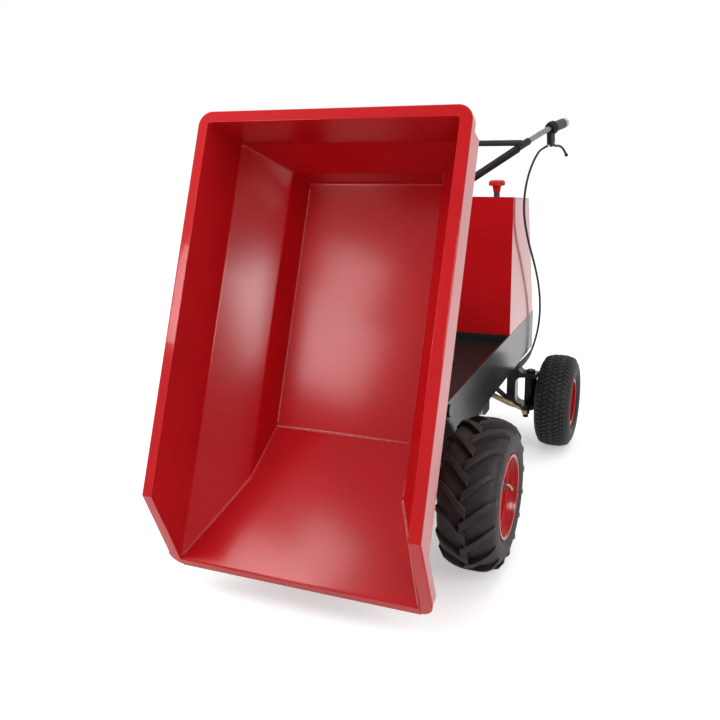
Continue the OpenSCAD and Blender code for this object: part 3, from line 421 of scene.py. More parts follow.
@dataclass(frozen=True)
class Finish:
    """A surface with broad colour drift, fine grain and slow waves.

    Attributes:
        name: Name of the material.
        colour: Main colour, linear.
        drift: Colour that the broad blotches lean to; on the weld beads these are pale pink flecks, a
            painted highlight.
        drift_scale: Blotches per metre.
        roughness: Lowest and highest roughness.
        grain: Bumps per metre and their height in metres.
        wave: Slow waves per metre and their height in metres.
        stretch: Scale of the pattern along X, Y and Z.
        metallic: 1 for bare metal.
        coat: Weight of a clear top coat.
        edge: Colour of rubbed or dusty edges, and how much of it; on the weld beads it lightens the
            bumps' tops as a painted highlight.
        specular: Level of reflection.
        tint: Share of the reflection that is left where a surface is seen straight on.
        coat_ior: Refraction of the clear top coat.
    """

    name: str
    colour: Triple
    drift: Triple
    drift_scale: float
    roughness: tuple[float, float]
    grain: tuple[float, float]
    wave: tuple[float, float] = (6.0, 0.0)
    stretch: Triple = (1.0, 1.0, 1.0)
    metallic: float = 0.0
    coat: float = 0.0
    edge: tuple[float, float, float, float] = (0.0, 0.0, 0.0, 0.0)
    specular: float = 0.5
    tint: float = 1.0
    coat_ior: float = 1.5

    def material(self) -> bpy.types.Material:
        """Give the material of this finish, made on first use."""
        found = bpy.data.materials.get(self.name)
        return found if found is not None else self._make()

    def _make(self) -> bpy.types.Material:
        """Build the material's nodes.

        Returns:
            The new material.
        """
        material = bpy.data.materials.new(self.name)
        material.use_nodes = True
        tree = material.node_tree
        shader = tree.nodes["Principled BSDF"]
        shader.inputs["Metallic"].default_value = self.metallic
        shader.inputs["Specular IOR Level"].default_value = self.specular
        shader.inputs["Specular Tint"].default_value = (self.tint, self.tint, self.tint, 1.0)
        shader.inputs["Coat Weight"].default_value = self.coat
        shader.inputs["Coat Roughness"].default_value = COAT_ROUGHNESS
        shader.inputs["Coat IOR"].default_value = self.coat_ior
        place = tree.nodes.new("ShaderNodeTexCoord")
        mapping = tree.nodes.new("ShaderNodeMapping")
        mapping.inputs["Scale"].default_value = self.stretch
        tree.links.new(place.outputs["Object"], mapping.inputs["Vector"])
        broad = self._noise(tree, mapping, self.drift_scale, 5.0)
        fine = self._noise(tree, mapping, self.grain[0], 3.0)
        blotch = self._ramp(tree, broad, BLOTCHES, (0.0, 1.0))
        colour = self._mix(tree, blotch, self.colour, self.drift)
        # Pointy edges take the edge colour: rubbed or dusty edges, and on the weld beads a painted
        # highlight on the tops of the bumps.
        if self.edge[3] > 0.0:
            shape = tree.nodes.new("ShaderNodeNewGeometry")
            wear_and_glint = self._ramp(tree, shape.outputs["Pointiness"], WEAR_AND_GLINT, (0.0, self.edge[3]))
            colour = self._mix(tree, wear_and_glint, colour, self.edge[:3])
        tree.links.new(colour, shader.inputs["Base Color"])
        rough = self._ramp(tree, fine, GRAINS, self.roughness)
        tree.links.new(rough, shader.inputs["Roughness"])
        slow = self._noise(tree, mapping, self.wave[0], 1.0)
        first = self._bump(tree, slow, self.wave[1], None)
        second = self._bump(tree, fine, self.grain[1], first)
        tree.links.new(second, shader.inputs["Normal"])
        return material

    @staticmethod
    def _noise(tree: Any, mapping: Any, scale: float, detail: float) -> Any:
        """Add a noise pattern and give its output."""
        noise = tree.nodes.new("ShaderNodeTexNoise")
        noise.inputs["Scale"].default_value = scale
        noise.inputs["Detail"].default_value = detail
        tree.links.new(mapping.outputs["Vector"], noise.inputs["Vector"])
        return noise.outputs["Fac"]

    @staticmethod
    def _ramp(tree: Any, source: Any, taken: tuple[float, float], given: tuple[float, float]) -> Any:
        """Map a range of a pattern to another range and give its output."""
        ramp = tree.nodes.new("ShaderNodeMapRange")
        ramp.inputs["From Min"].default_value, ramp.inputs["From Max"].default_value = taken
        ramp.inputs["To Min"].default_value, ramp.inputs["To Max"].default_value = given
        tree.links.new(source, ramp.inputs["Value"])
        return ramp.outputs["Result"]

    @staticmethod
    def _mix(tree: Any, share: Any, first: Any, second: Sequence[float]) -> Any:
        """Mix two colours by a pattern and give the output.

        Args:
            tree: Node tree of the material.
            share: Output that gives the second colour's share.
            first: First colour, or the output that gives it.
            second: Second colour.

        Returns:
            The mixed colour's output.
        """
        mix = tree.nodes.new("ShaderNodeMix")
        mix.data_type = "RGBA"
        # Colours go in at the mix node's sockets 6 and 7 and come out at 2
        tree.links.new(share, mix.inputs[0])
        if isinstance(first, tuple):
            mix.inputs[6].default_value = (*first, 1.0)
        else:
            tree.links.new(first, mix.inputs[6])
        mix.inputs[7].default_value = (*second[:3], 1.0)
        return mix.outputs[2]

    @staticmethod
    def _bump(tree: Any, height: Any, distance: float, normal: Any) -> Any:
        """Add a bump over an earlier one and give its output."""
        bump = tree.nodes.new("ShaderNodeBump")
        bump.inputs["Strength"].default_value = 1.0
        bump.inputs["Distance"].default_value = distance
        tree.links.new(height, bump.inputs["Height"])
        if normal is not None:
            tree.links.new(normal, bump.inputs["Normal"])
        return bump.outputs["Normal"]


class Finishes(Enum):
    """The finishes of the machine, by the slot that they belong to."""

    RED_PAINT = Finish("red_gloss_paint", colour=(0.45, 0.0055, 0.0085),
                       drift=(0.40, 0.0050, 0.0075), drift_scale=5.0, roughness=(0.16, 0.21),
                       grain=(900.0, 0.00003), wave=(4.0, 0.0005), edge=(0.52, 0.03, 0.03, 0.2),
                       specular=0.16)
    GLOSS_RED = Finish("red_mirror_paint", colour=(0.47, 0.0055, 0.0085),
                       drift=(0.42, 0.0050, 0.0075), drift_scale=5.0, roughness=(0.14, 0.19),
                       grain=(900.0, 0.00003), wave=(4.0, 0.0005), coat=0.75,
                       edge=(0.52, 0.03, 0.03, 0.2), specular=0.8, tint=0.06, coat_ior=1.2)
    # Weld beads: the pale pink flecks and pale bump tops are painted highlights that stand in for
    # glints on the glossy bumps.
    WELD_PAINT = Finish("red_weld_with_painted_glints", colour=(0.46, 0.018, 0.020), drift=(0.56, 0.10, 0.10),
                        drift_scale=160.0, roughness=(0.20, 0.34), grain=(1200.0, 0.00020), coat=0.3,
                        edge=(0.70, 0.24, 0.23, 0.5), specular=0.3)
    BLACK_PAINT = Finish("black_gloss_paint", colour=(0.005, 0.006, 0.006),
                         drift=(0.009, 0.010, 0.009), drift_scale=6.0, roughness=(0.16, 0.24),
                         grain=(900.0, 0.00003), wave=(4.0, 0.0006), edge=(0.10, 0.10, 0.10, 0.35),
                         specular=0.5, tint=0.3)
    SATIN_BLACK = Finish("black_satin_paint", colour=(0.008, 0.0075, 0.0075),
                         drift=(0.013, 0.012, 0.012), drift_scale=8.0, roughness=(0.34, 0.50),
                         grain=(900.0, 0.00004), wave=(4.0, 0.0006), edge=(0.08, 0.08, 0.08, 0.3),
                         specular=0.18)
    BRIGHT_STEEL = Finish("bright_zinc_steel", colour=(0.62, 0.62, 0.60), drift=(0.48, 0.48, 0.47),
                          drift_scale=30.0, roughness=(0.22, 0.42), grain=(1500.0, 0.00003),
                          stretch=(1.0, 6.0, 6.0), metallic=1.0)
    BRONZE = Finish("bearing_bronze", colour=(0.46, 0.28, 0.12), drift=(0.38, 0.22, 0.09),
                    drift_scale=40.0, roughness=(0.25, 0.45), grain=(1200.0, 0.00003), metallic=1.0)
    HANDLE_STEEL = Finish("grey_handle_steel", colour=(0.30, 0.30, 0.30), drift=(0.20, 0.20, 0.20),
                          drift_scale=25.0, roughness=(0.24, 0.40), grain=(1500.0, 0.00003),
                          stretch=(1.0, 6.0, 6.0), metallic=1.0)
    YELLOW_ZINC = Finish("yellow_zinc_plate", colour=(0.38, 0.30, 0.15), drift=(0.30, 0.25, 0.15),
                         drift_scale=45.0, roughness=(0.28, 0.45), grain=(1200.0, 0.00003),
                         metallic=1.0)
    TYRE_RUBBER = Finish("dusty_tyre_rubber", colour=(0.016, 0.013, 0.0125),
                         drift=(0.030, 0.022, 0.020), drift_scale=24.0, roughness=(0.50, 0.74),
                         grain=(700.0, 0.00012), wave=(40.0, 0.0010),
                         edge=(0.060, 0.045, 0.040, 0.5), specular=0.3)
    TURF_RUBBER = Finish("clean_tyre_rubber", colour=(0.009, 0.009, 0.0095),
                         drift=(0.016, 0.016, 0.016), drift_scale=30.0, roughness=(0.48, 0.70),
                         grain=(800.0, 0.00010), wave=(40.0, 0.0006),
                         edge=(0.030, 0.030, 0.030, 0.4), specular=0.3)
    MOULDED_RUBBER = Finish("moulded_grip_rubber", colour=(0.038, 0.038, 0.039),
                            drift=(0.056, 0.055, 0.055), drift_scale=60.0, roughness=(0.45, 0.65),
                            grain=(1400.0, 0.00010), edge=(0.07, 0.07, 0.07, 0.4))
    CABLE_JACKET = Finish("cable_jacket", colour=(0.012, 0.012, 0.013), drift=(0.020, 0.020, 0.020),
                          drift_scale=70.0, roughness=(0.30, 0.45), grain=(1600.0, 0.00005))
    BLACK_PLASTIC = Finish("black_plastic", colour=(0.016, 0.016, 0.017),
                           drift=(0.024, 0.024, 0.024), drift_scale=50.0, roughness=(0.30, 0.45),
                           grain=(1300.0, 0.00008))
    RED_PLASTIC = Finish("red_knob_plastic", colour=(0.50, 0.012, 0.016), drift=(0.43, 0.010, 0.013),
                         drift_scale=40.0, roughness=(0.28, 0.40), grain=(1300.0, 0.00005),
                         specular=0.4, tint=0.3)
    CAST_ALUMINIUM = Finish("cast_aluminium", colour=(0.50, 0.50, 0.50), drift=(0.40, 0.40, 0.40),
                            drift_scale=60.0, roughness=(0.40, 0.60), grain=(900.0, 0.00020),
                            metallic=1.0)
    PALE_CAP = Finish("pale_end_cap", colour=(0.46, 0.46, 0.45), drift=(0.36, 0.36, 0.35),
                      drift_scale=80.0, roughness=(0.35, 0.50), grain=(1300.0, 0.00006))

    @property
    def slot(self) -> str:
        """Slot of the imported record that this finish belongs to."""
        trim = {Finishes.PALE_CAP: "black_plastic", Finishes.WELD_PAINT: "red_paint",
                Finishes.TURF_RUBBER: "tyre_rubber", Finishes.SATIN_BLACK: "black_paint",
                Finishes.GLOSS_RED: "red_paint", Finishes.HANDLE_STEEL: "bright_steel"}
        return trim.get(self, self.name.lower())


class Dresser:
    """Ties pieces to bodies, hides the solids that they stand for and paints both."""

    def __init__(self, frame: dict[str, Any]) -> None:
        """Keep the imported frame.

        Args:
            frame: What the frame's loader returned.
        """
        self.frame = frame
        self.nodes: dict[str, bpy.types.Object] = frame["nodes"]
        self.replaced: set[str] = set()

    def dress(self, piece: bpy.types.Object, body: str, finish: Finishes, *nodes: str) -> None:
        """Give a piece its finish and its body.

        Args:
            piece: Finished piece.
            body: Body that it moves with.
            finish: Its finish.
            nodes: Solids that it stands for.
        """
        self.paint(piece, finish)
        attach(piece, body)
        if nodes:
            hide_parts(*nodes)
            self.replaced.update(nodes)
        LOG.info("%s rides on %s, %d faces", piece.name, body, len(piece.data.polygons))

    @staticmethod
    def paint(piece: bpy.types.Object, finish: Finishes) -> None:
        """Put one finish on a whole piece."""
        piece.data.materials.clear()
        piece.data.materials.append(finish.value.material())

    def soften(self, node: str, body: str, finish: Finishes, width: float, segments: int = 2,
               play: float = 0.0) -> None:
        """Replace a solid by a copy with rounded edges.

        Args:
            node: Solid to replace.
            body: Body that it moves with.
            finish: Its finish.
            width: Width of the rounded edges.
            segments: Pieces across a rounded edge.
            play: Distance that every face draws in.
        """
        piece = Bench.softened(self.nodes[node], node + "_skin", width, segments, play)
        self.dress(piece, body, finish, node)

    def paint_rest(self) -> None:
        """Paint every solid that still shows with the finish of its slot."""
        slots = {finish.slot: finish for finish in Finishes if finish.slot == finish.name.lower()}
        for name, node in self.nodes.items():
            if name in self.replaced:
                continue
            slot = self.slot_of(name)
            node.data.materials.clear()
            node.data.materials.append(slots[slot].value.material())

    def slot_of(self, node: str) -> str:
        """Give the record's material slot of a solid."""
        parts = self.frame["record"]["subparts"]
        return next(part["material_slot"] for part in parts if part["node"] == node)


@dataclass
class Bucket:
    """Folded sheet bucket in its own frame: y is 0 at the floor's rear edge, z is 0 on the floor."""

    dresser: Dresser
    # Hinge: angle at rest, place on the machine in millimetres, way from it to the bucket's frame
    tip: float = math.radians(66.8)
    pivot: Triple = (0, 9, 420)
    pivot_l: float = 0.586
    pivot_drop: float = 0.090
    # Half widths at the floor, the two folds and the mouth
    floor_half: float = 0.195
    low_half: float = 0.213
    high_half: float = 0.3185
    mouth_half: float = 0.322
    # Heights of the folds and the mouth
    low_z: float = 0.074
    high_z: float = 0.187
    top_z: float = 0.344
    # Rear wall at the folds and the mouth
    low_back: float = 0.004
    high_back: float = 0.043
    mouth_back: float = 0.037
    # Fronts of the floor and the pouring slope, and the place where the rim starts to fall
    floor_l: float = 0.684
    lip_l: float = 1.041
    turn_l: float = 0.888
    mid_y: float = -0.3
    # Sheet and its folds
    sheet: float = 0.003
    fold_r: float = 0.005
    # Rim: width, depth of its turned edge at the sides and elsewhere, and where the depth changes
    rim_w: float = 0.029
    rim_drop: float = 0.075
    slope_drop: float = 0.030
    deep_end: float = 0.010
    step_l: float = 0.002
    bend_h: float = 0.010
    turn_lap: float = 0.00127
    rim_r: float = 0.036
    rim_steps: int = 9
    # Pouring lip and its round corners
    lip_w: float = 0.027
    lip_corner: float = 0.010
    lip_lap: float = 0.0042
    lip_gap: float = 0.0005
    lip_edge: float = 0.0006
    lip_steps: int = 10
    weld_start: float = -0.02

    @property
    def low_front(self) -> float:
        """Front of the lower fold, on the straight pouring slope."""
        return self.floor_l + (self.lip_l - self.floor_l) * self.low_z / self.high_z

    def place(self) -> Matrix:
        """Give the way from the bucket's frame to the part's frame."""
        return (Matrix.Translation(spot(*self.pivot)) @ Matrix.Rotation(self.tip, 4, "X")
                @ Matrix.Translation((0, self.pivot_l, self.pivot_drop)))

    def build(self) -> None:
        """Build the bucket's pieces and dress them."""
        self.skin()
        self.rim()
        self.lip()
        self.welds()
        for node, width in (("bucket_ribs", 0.0025), ("hinge_lugs", 0.0015)):
            self.dresser.soften(node, "bucket", Finishes.RED_PAINT, width)
        self.dresser.soften("hinge_bushes", "bucket", Finishes.BRONZE, 0.0005)

    def skin(self) -> None:
        """Fold the bucket from one floor plate: pull each ring of walls out of the last."""
        Bench.clear()
        bpy.ops.mesh.primitive_plane_add(size=1.0)
        piece = bpy.context.object
        piece.name = "bucket_skin"
        Bench.pick_all(piece)
        bpy.ops.transform.resize(value=(2 * self.floor_half, self.floor_l, 1),
                                 center_override=(0, 0, 0))
        bpy.ops.transform.translate(value=(0, -self.floor_l / 2, 0))
        Bench.done()
        rings = [(self.floor_half, 0.0, self.floor_l, 0.0),
                 (self.low_half, self.low_back, self.low_front, self.low_z),
                 (self.high_half, self.high_back, self.lip_l + self.lip_lap, self.high_z),
                 (self.mouth_half, self.mouth_back, self.turn_l, self.top_z)]
        for last, ring in zip(rings, rings[1:]):
            self.raise_ring(piece, last, ring, open_front=ring is rings[-1])
        lip_y = -rings[2][2]
        Bench.pick(piece, Kind.EDGE, lambda edge: all(abs(vertex.co.y - lip_y) < NEAR
                                                      for vertex in edge.verts))
        bpy.ops.mesh.extrude_edges_move(TRANSFORM_OT_translate={"value": self.fall() * self.lip_w})
        Bench.done()
        Bench.pick(piece, Kind.EDGE, lambda edge: len(edge.link_faces) == 2
                   and edge.calc_face_angle() > math.radians(4))
        bpy.ops.mesh.bevel(offset=self.fold_r, segments=4, affect="EDGES")
        Bench.done()
        Bench.clean(piece)
        floor = max(piece.data.polygons, key=lambda face: face.area)
        self.thicken(piece, 1.0 if floor.normal.z < 0 else -1.0)
        Bench.smooth(piece, 30.0)
        piece.data.transform(self.place())
        self.dresser.dress(piece, "bucket", Finishes.RED_PAINT, "bucket_shell")

    def raise_ring(self, piece: bpy.types.Object, last: Ring, ring: Ring, open_front: bool) -> None:
        """Pull the next ring of walls out of the last ring's edges.

        Args:
            piece: Bucket's sheet so far.
            last: Half width, rear, front and height of the last ring.
            ring: The same of the new ring.
            open_front: True where the front edge stays as it is.
        """
        half, back, front, z = last

        def on_ring(edge: Any) -> bool:
            """Say whether an edge lies on the last ring."""
            middle = (edge.verts[0].co + edge.verts[1].co) / 2
            level = all(abs(vertex.co.z - z) < NEAR for vertex in edge.verts)
            return level and not (open_front and abs(middle.y + front) < NEAR)

        Bench.pick(piece, Kind.EDGE, on_ring)
        bpy.ops.mesh.extrude_edges_move(TRANSFORM_OT_translate={"value": (0, 0, ring[3] - z)})
        bpy.ops.transform.resize(value=(ring[0] / half, 1, 1), center_override=(0, 0, 0))
        Bench.done()
        for rear, reach in ((True, ring[1] - back), (False, front - ring[2])):
            Bench.pick(piece, Kind.VERT, lambda vertex: abs(vertex.co.z - ring[3]) < NEAR
                       and (vertex.co.y > self.mid_y) == rear)
            bpy.ops.transform.translate(value=(0, reach, 0))
            Bench.done()

    def thicken(self, piece: bpy.types.Object, offset: float) -> None:
        """Give the sheet its thickness on the outside."""
        Bench.modify(piece, "SOLIDIFY", thickness=self.sheet, offset=offset, use_even_offset=True,
                     use_quality_normals=True)

    def fall(self) -> Vector:
        """Give the direction in which the rim falls from its turn to the lip."""
        return Vector((0, self.turn_l - self.lip_l, self.high_z - self.top_z)).normalized()

    def tilt(self) -> Vector:
        """Give the normal of the falling part of the rim."""
        fall = self.fall()
        return Vector((0, fall.z, -fall.y))

    def rim_path(self) -> list[tuple[Vector, Vector, Vector]]:
        """Give the rim's outer top line, with the flange's normal and the way down its turned edge.

        Returns:
            Point, normal and way down from the right lip corner round the rear to the left lip corner.
        """
        out = self.mouth_half + self.rim_w
        back = self.mouth_back + self.rim_w
        fall, tilt, level = self.fall(), self.tilt(), Vector((0, 0, 1))
        turn = Vector((out, -self.turn_l - self.turn_lap, self.top_z + self.sheet))
        low = Vector((out, -self.lip_l, self.high_z)) + tilt * self.sheet - fall * self.lip_corner
        reach = (self.rim_drop - self.slope_drop * tilt.z) / -fall.z
        bend = fall * reach - tilt * self.slope_drop
        right = [(low, tilt, -tilt * self.slope_drop), (turn, tilt.lerp(level, 0.5).normalized(), bend)]
        for y, drop in ((self.deep_end, self.rim_drop), (self.deep_end + self.step_l, self.slope_drop)):
            right.append((Vector((out, y, turn.z)), level, -level * drop))
        for step in range(self.rim_steps + 1):
            angle = math.radians(90 * step / self.rim_steps)
            right.append((Vector((out - self.rim_r + self.rim_r * math.cos(angle),
                                  back - self.rim_r + self.rim_r * math.sin(angle), turn.z)),
                          level, -level * self.slope_drop))
        left = [(mirrored(point, -1), normal, down) for point, normal, down in reversed(right)]
        return right + left

    def rim(self) -> None:
        """Sweep the turned-down flange round the mouth."""
        corners = [(-self.rim_w, 0), (0, 0), (0, -self.rim_drop), (-self.sheet, -self.rim_drop),
                   (-self.sheet, -self.sheet), (-self.rim_w, -self.sheet)]
        outline = rounded(corners, (0.0024, 0.0055, 0.0008, 0.0008, 0.0025, 0.0008), 5)
        path = self.rim_path()
        sections = []
        for index, (point, normal, down) in enumerate(path):
            before = path[max(index - 1, 0)][0]
            after = path[min(index + 1, len(path) - 1)][0]
            along = (after - before).normalized()
            side = along.cross(normal).normalized()
            sections.append([point + side * u + self.below(v, normal, down) for u, v in outline])
        piece = Bench.swept("bucket_rim_skin", sections)
        Bench.smooth(piece, 32.0)
        piece.data.transform(self.place())
        self.dresser.dress(piece, "bucket", Finishes.GLOSS_RED, "bucket_rim")

    def below(self, v: float, normal: Vector, down: Vector) -> Vector:
        """Go down the rim's section: at right angles through the sheet, then along the turned edge.

        Args:
            v: Height in the full section, 0 at the top.
            normal: Flange's normal.
            down: Whole way down the turned edge.

        Returns:
            The way from the section's top.
        """
        if v > -self.bend_h:
            return normal * v
        share = (-v - self.bend_h) / (self.rim_drop - self.bend_h)
        return (normal * -self.bend_h).lerp(down, share)

    def lip(self) -> None:
        """Cut the two round corner plates between the falling rim and the pouring lip."""
        out, inner = self.mouth_half + self.rim_w, self.high_half - self.lip_gap
        fall, tilt = self.fall(), self.tilt()
        outline = [(inner, self.lip_corner), (out, self.lip_corner)]
        for step in range(1, self.lip_steps + 1):
            angle = math.radians(90 * step / self.lip_steps)
            outline.append((inner + (out - inner) * math.cos(angle),
                            self.lip_corner - (self.lip_corner + self.lip_w) * math.sin(angle)))
        place = Matrix(((1, 0, 0, 0), (0, -fall.y, tilt.y, -self.lip_l),
                        (0, -fall.z, tilt.z, self.high_z), (0, 0, 0, 1)))
        for side, word in ((1, "left"), (-1, "right")):
            mirror = [(x * side, y) for x, y in outline]
            piece = Bench.plate("lip_corner_" + word, mirror, self.sheet, self.lip_edge)
            Bench.smooth(piece, 32.0)
            piece.data.transform(self.place() @ place)
            self.dresser.dress(piece, "bucket", Finishes.GLOSS_RED, "bucket_rim")

    def welds(self) -> None:
        """Lay rough weld beads along the seams of the floor and the pouring slope."""
        slope_low = Vector((self.low_half, -self.low_front, self.low_z))
        slope_high = Vector((self.high_half, -self.lip_l, self.high_z))
        floor_front = Vector((self.floor_half, -self.floor_l, 0))
        floor_back = Vector((self.floor_half, self.weld_start, 0))
        flip = Matrix.Scale(-1, 4, (1, 0, 0))
        seams = [("weld_floor_left", flip @ floor_back, flip @ floor_front, 0.0021),
                 ("weld_floor_right", floor_back, floor_front, 0.0018),
                 ("weld_floor_front", flip @ floor_front, floor_front, 0.0020),
                 ("weld_slope_right", floor_front, slope_low, 0.0020),
                 ("weld_slope_right_high", slope_low, slope_high, 0.0024),
                 ("weld_slope_left", flip @ floor_front, flip @ slope_low, 0.0014),
                 ("weld_slope_left_high", flip @ slope_low, flip @ slope_high, 0.0010)]
        for number, (name, start, end, size) in enumerate(seams):
            piece = self.bead(name, (end - start).length, size, number)
            turn = Vector((1, 0, 0)).rotation_difference(end - start).to_matrix().to_4x4()
            raised = start + Vector((0, 0, size / 2))
            piece.data.transform(self.place() @ Matrix.Translation(raised) @ turn)
            # The beads' finish carries painted highlights: pale pink flecks and pale bump tops.
            self.dresser.dress(piece, "bucket", Finishes.WELD_PAINT)

    @staticmethod
    def bead(name: str, length: float, size: float, seed: int) -> bpy.types.Object:
        """Model one drop of weld, repeat it into runs with gaps and roughen the whole.

        Args:
            name: Name of the piece.
            length: Length of the seam.
            size: Half height of the bead.
            seed: Seed of the roughness.

        Returns:
            The bead along +X from the origin.
        """
        drop_shape = (0.9, 1.35, 0.85)
        drops = 7 + seed % 3
        pitch, gap = size * 1.05, size * 1.1
        run = pitch * drops + gap
        Bench.clear()
        bpy.ops.mesh.primitive_uv_sphere_add(segments=8, ring_count=6, radius=size)
        piece = bpy.context.object
        piece.name = name
        Bench.pick_all(piece)
        bpy.ops.transform.resize(value=drop_shape, center_override=(0, 0, 0))
        Bench.done()
        for count, step in ((drops, pitch), (max(int(length / run), 1), run)):
            Bench.modify(piece, "ARRAY", count=count, use_relative_offset=False,
                         use_constant_offset=True, constant_offset_displace=(step, 0, 0))
        Bench.pick_all(piece)
        bpy.ops.transform.vertex_random(offset=size * 0.35, uniform=0.6, normal=0.4, seed=seed + 1)
        Bench.done()
        Bench.smooth(piece, 60.0)
        return piece


@dataclass
class Tyre:
    """Section of a tyre as shares of its half width and of its height over the bead."""

    bead_r: float
    crown_r: float
    half_w: float
    outer: Pairs
    inner: Pairs = ((0.3, 0.87), (0.76, 0.76), (0.85, 0.5), (0.62, 0.16),
                    (0.6, 0.0))

    def outline(self) -> Outline:
        """Give the closed section of the carcass, the outer line smoothed."""
        line = eased([Vector((y, x, 0)) for x, y in self.outer], 3)
        high = self.crown_r - self.bead_r
        half = [(self.bead_r + high * p.x, self.half_w * p.y) for p in line]
        hollow = [(self.bead_r + high * y, self.half_w * x) for x, y in self.inner]
        mirror = [(r, -z) for r, z in reversed(half[:-1])]
        back = [(r, -z) for r, z in reversed(hollow)]
        return half + mirror + back + hollow


@dataclass
class Wheel:
    """What both kinds of wheel share.

    Attributes:
        dresser: Dresser of the machine.
        side: 1 on the left, -1 on the right.
        end: End of the machine that the wheel is at.
        axle: Middle of the left wheel, in millimetres on the machine.
        turns: Pieces round the tyre's carcass.
    """

    dresser: Dresser
    side: int
    end: str = ""
    axle: Triple = (0, 0, 0)
    turns: int = 96

    @property
    def word(self) -> str:
        """Side of the machine that the wheel is on."""
        return "left" if self.side > 0 else "right"

    @property
    def body(self) -> str:
        """Body that turns with the wheel."""
        return f"{self.word}_{self.end}_wheel"

    @property
    def middle(self) -> Vector:
        """Middle of the wheel."""
        x, y, z = self.axle
        return spot(x * self.side, y, z)

    def carcass(self, shape: Tyre) -> bpy.types.Object:
        """Turn a tyre's carcass round the origin."""
        return Bench.spun(self.word + "_carcass", shape.outline(), self.turns, Vector())

    def tyre(self, parts: Sequence[bpy.types.Object], rubber: Finishes) -> None:
        """Join a tyre's parts, set it on its axle and dress it.

        Args:
            parts: Carcass and tread round the origin, outboard to +X.
            rubber: Finish of the tyre.
        """
        name = f"{self.word}_{self.end}_tyre"
        tyre = Bench.joined(parts, name + "_skin")
        tyre.data.transform(Matrix.Translation(self.middle) @ Matrix.Diagonal((self.side, 1, 1, 1)))
        Bench.pick_all(tyre)
        bpy.ops.mesh.normals_make_consistent(inside=False)
        Bench.done()
        Bench.smooth(tyre, 38.0)
        self.dresser.dress(tyre, self.body, rubber, name)

    def rim(self, outline: Outline, steps: int) -> None:
        """Turn a rim with its disc and dress it."""
        name = f"{self.word}_{self.end}_rim"
        rim = Bench.spun(name + "_skin", outline, steps, self.middle, self.side)
        Bench.smooth(rim, 30.0)
        self.dresser.dress(rim, self.body, Finishes.RED_PAINT, name)


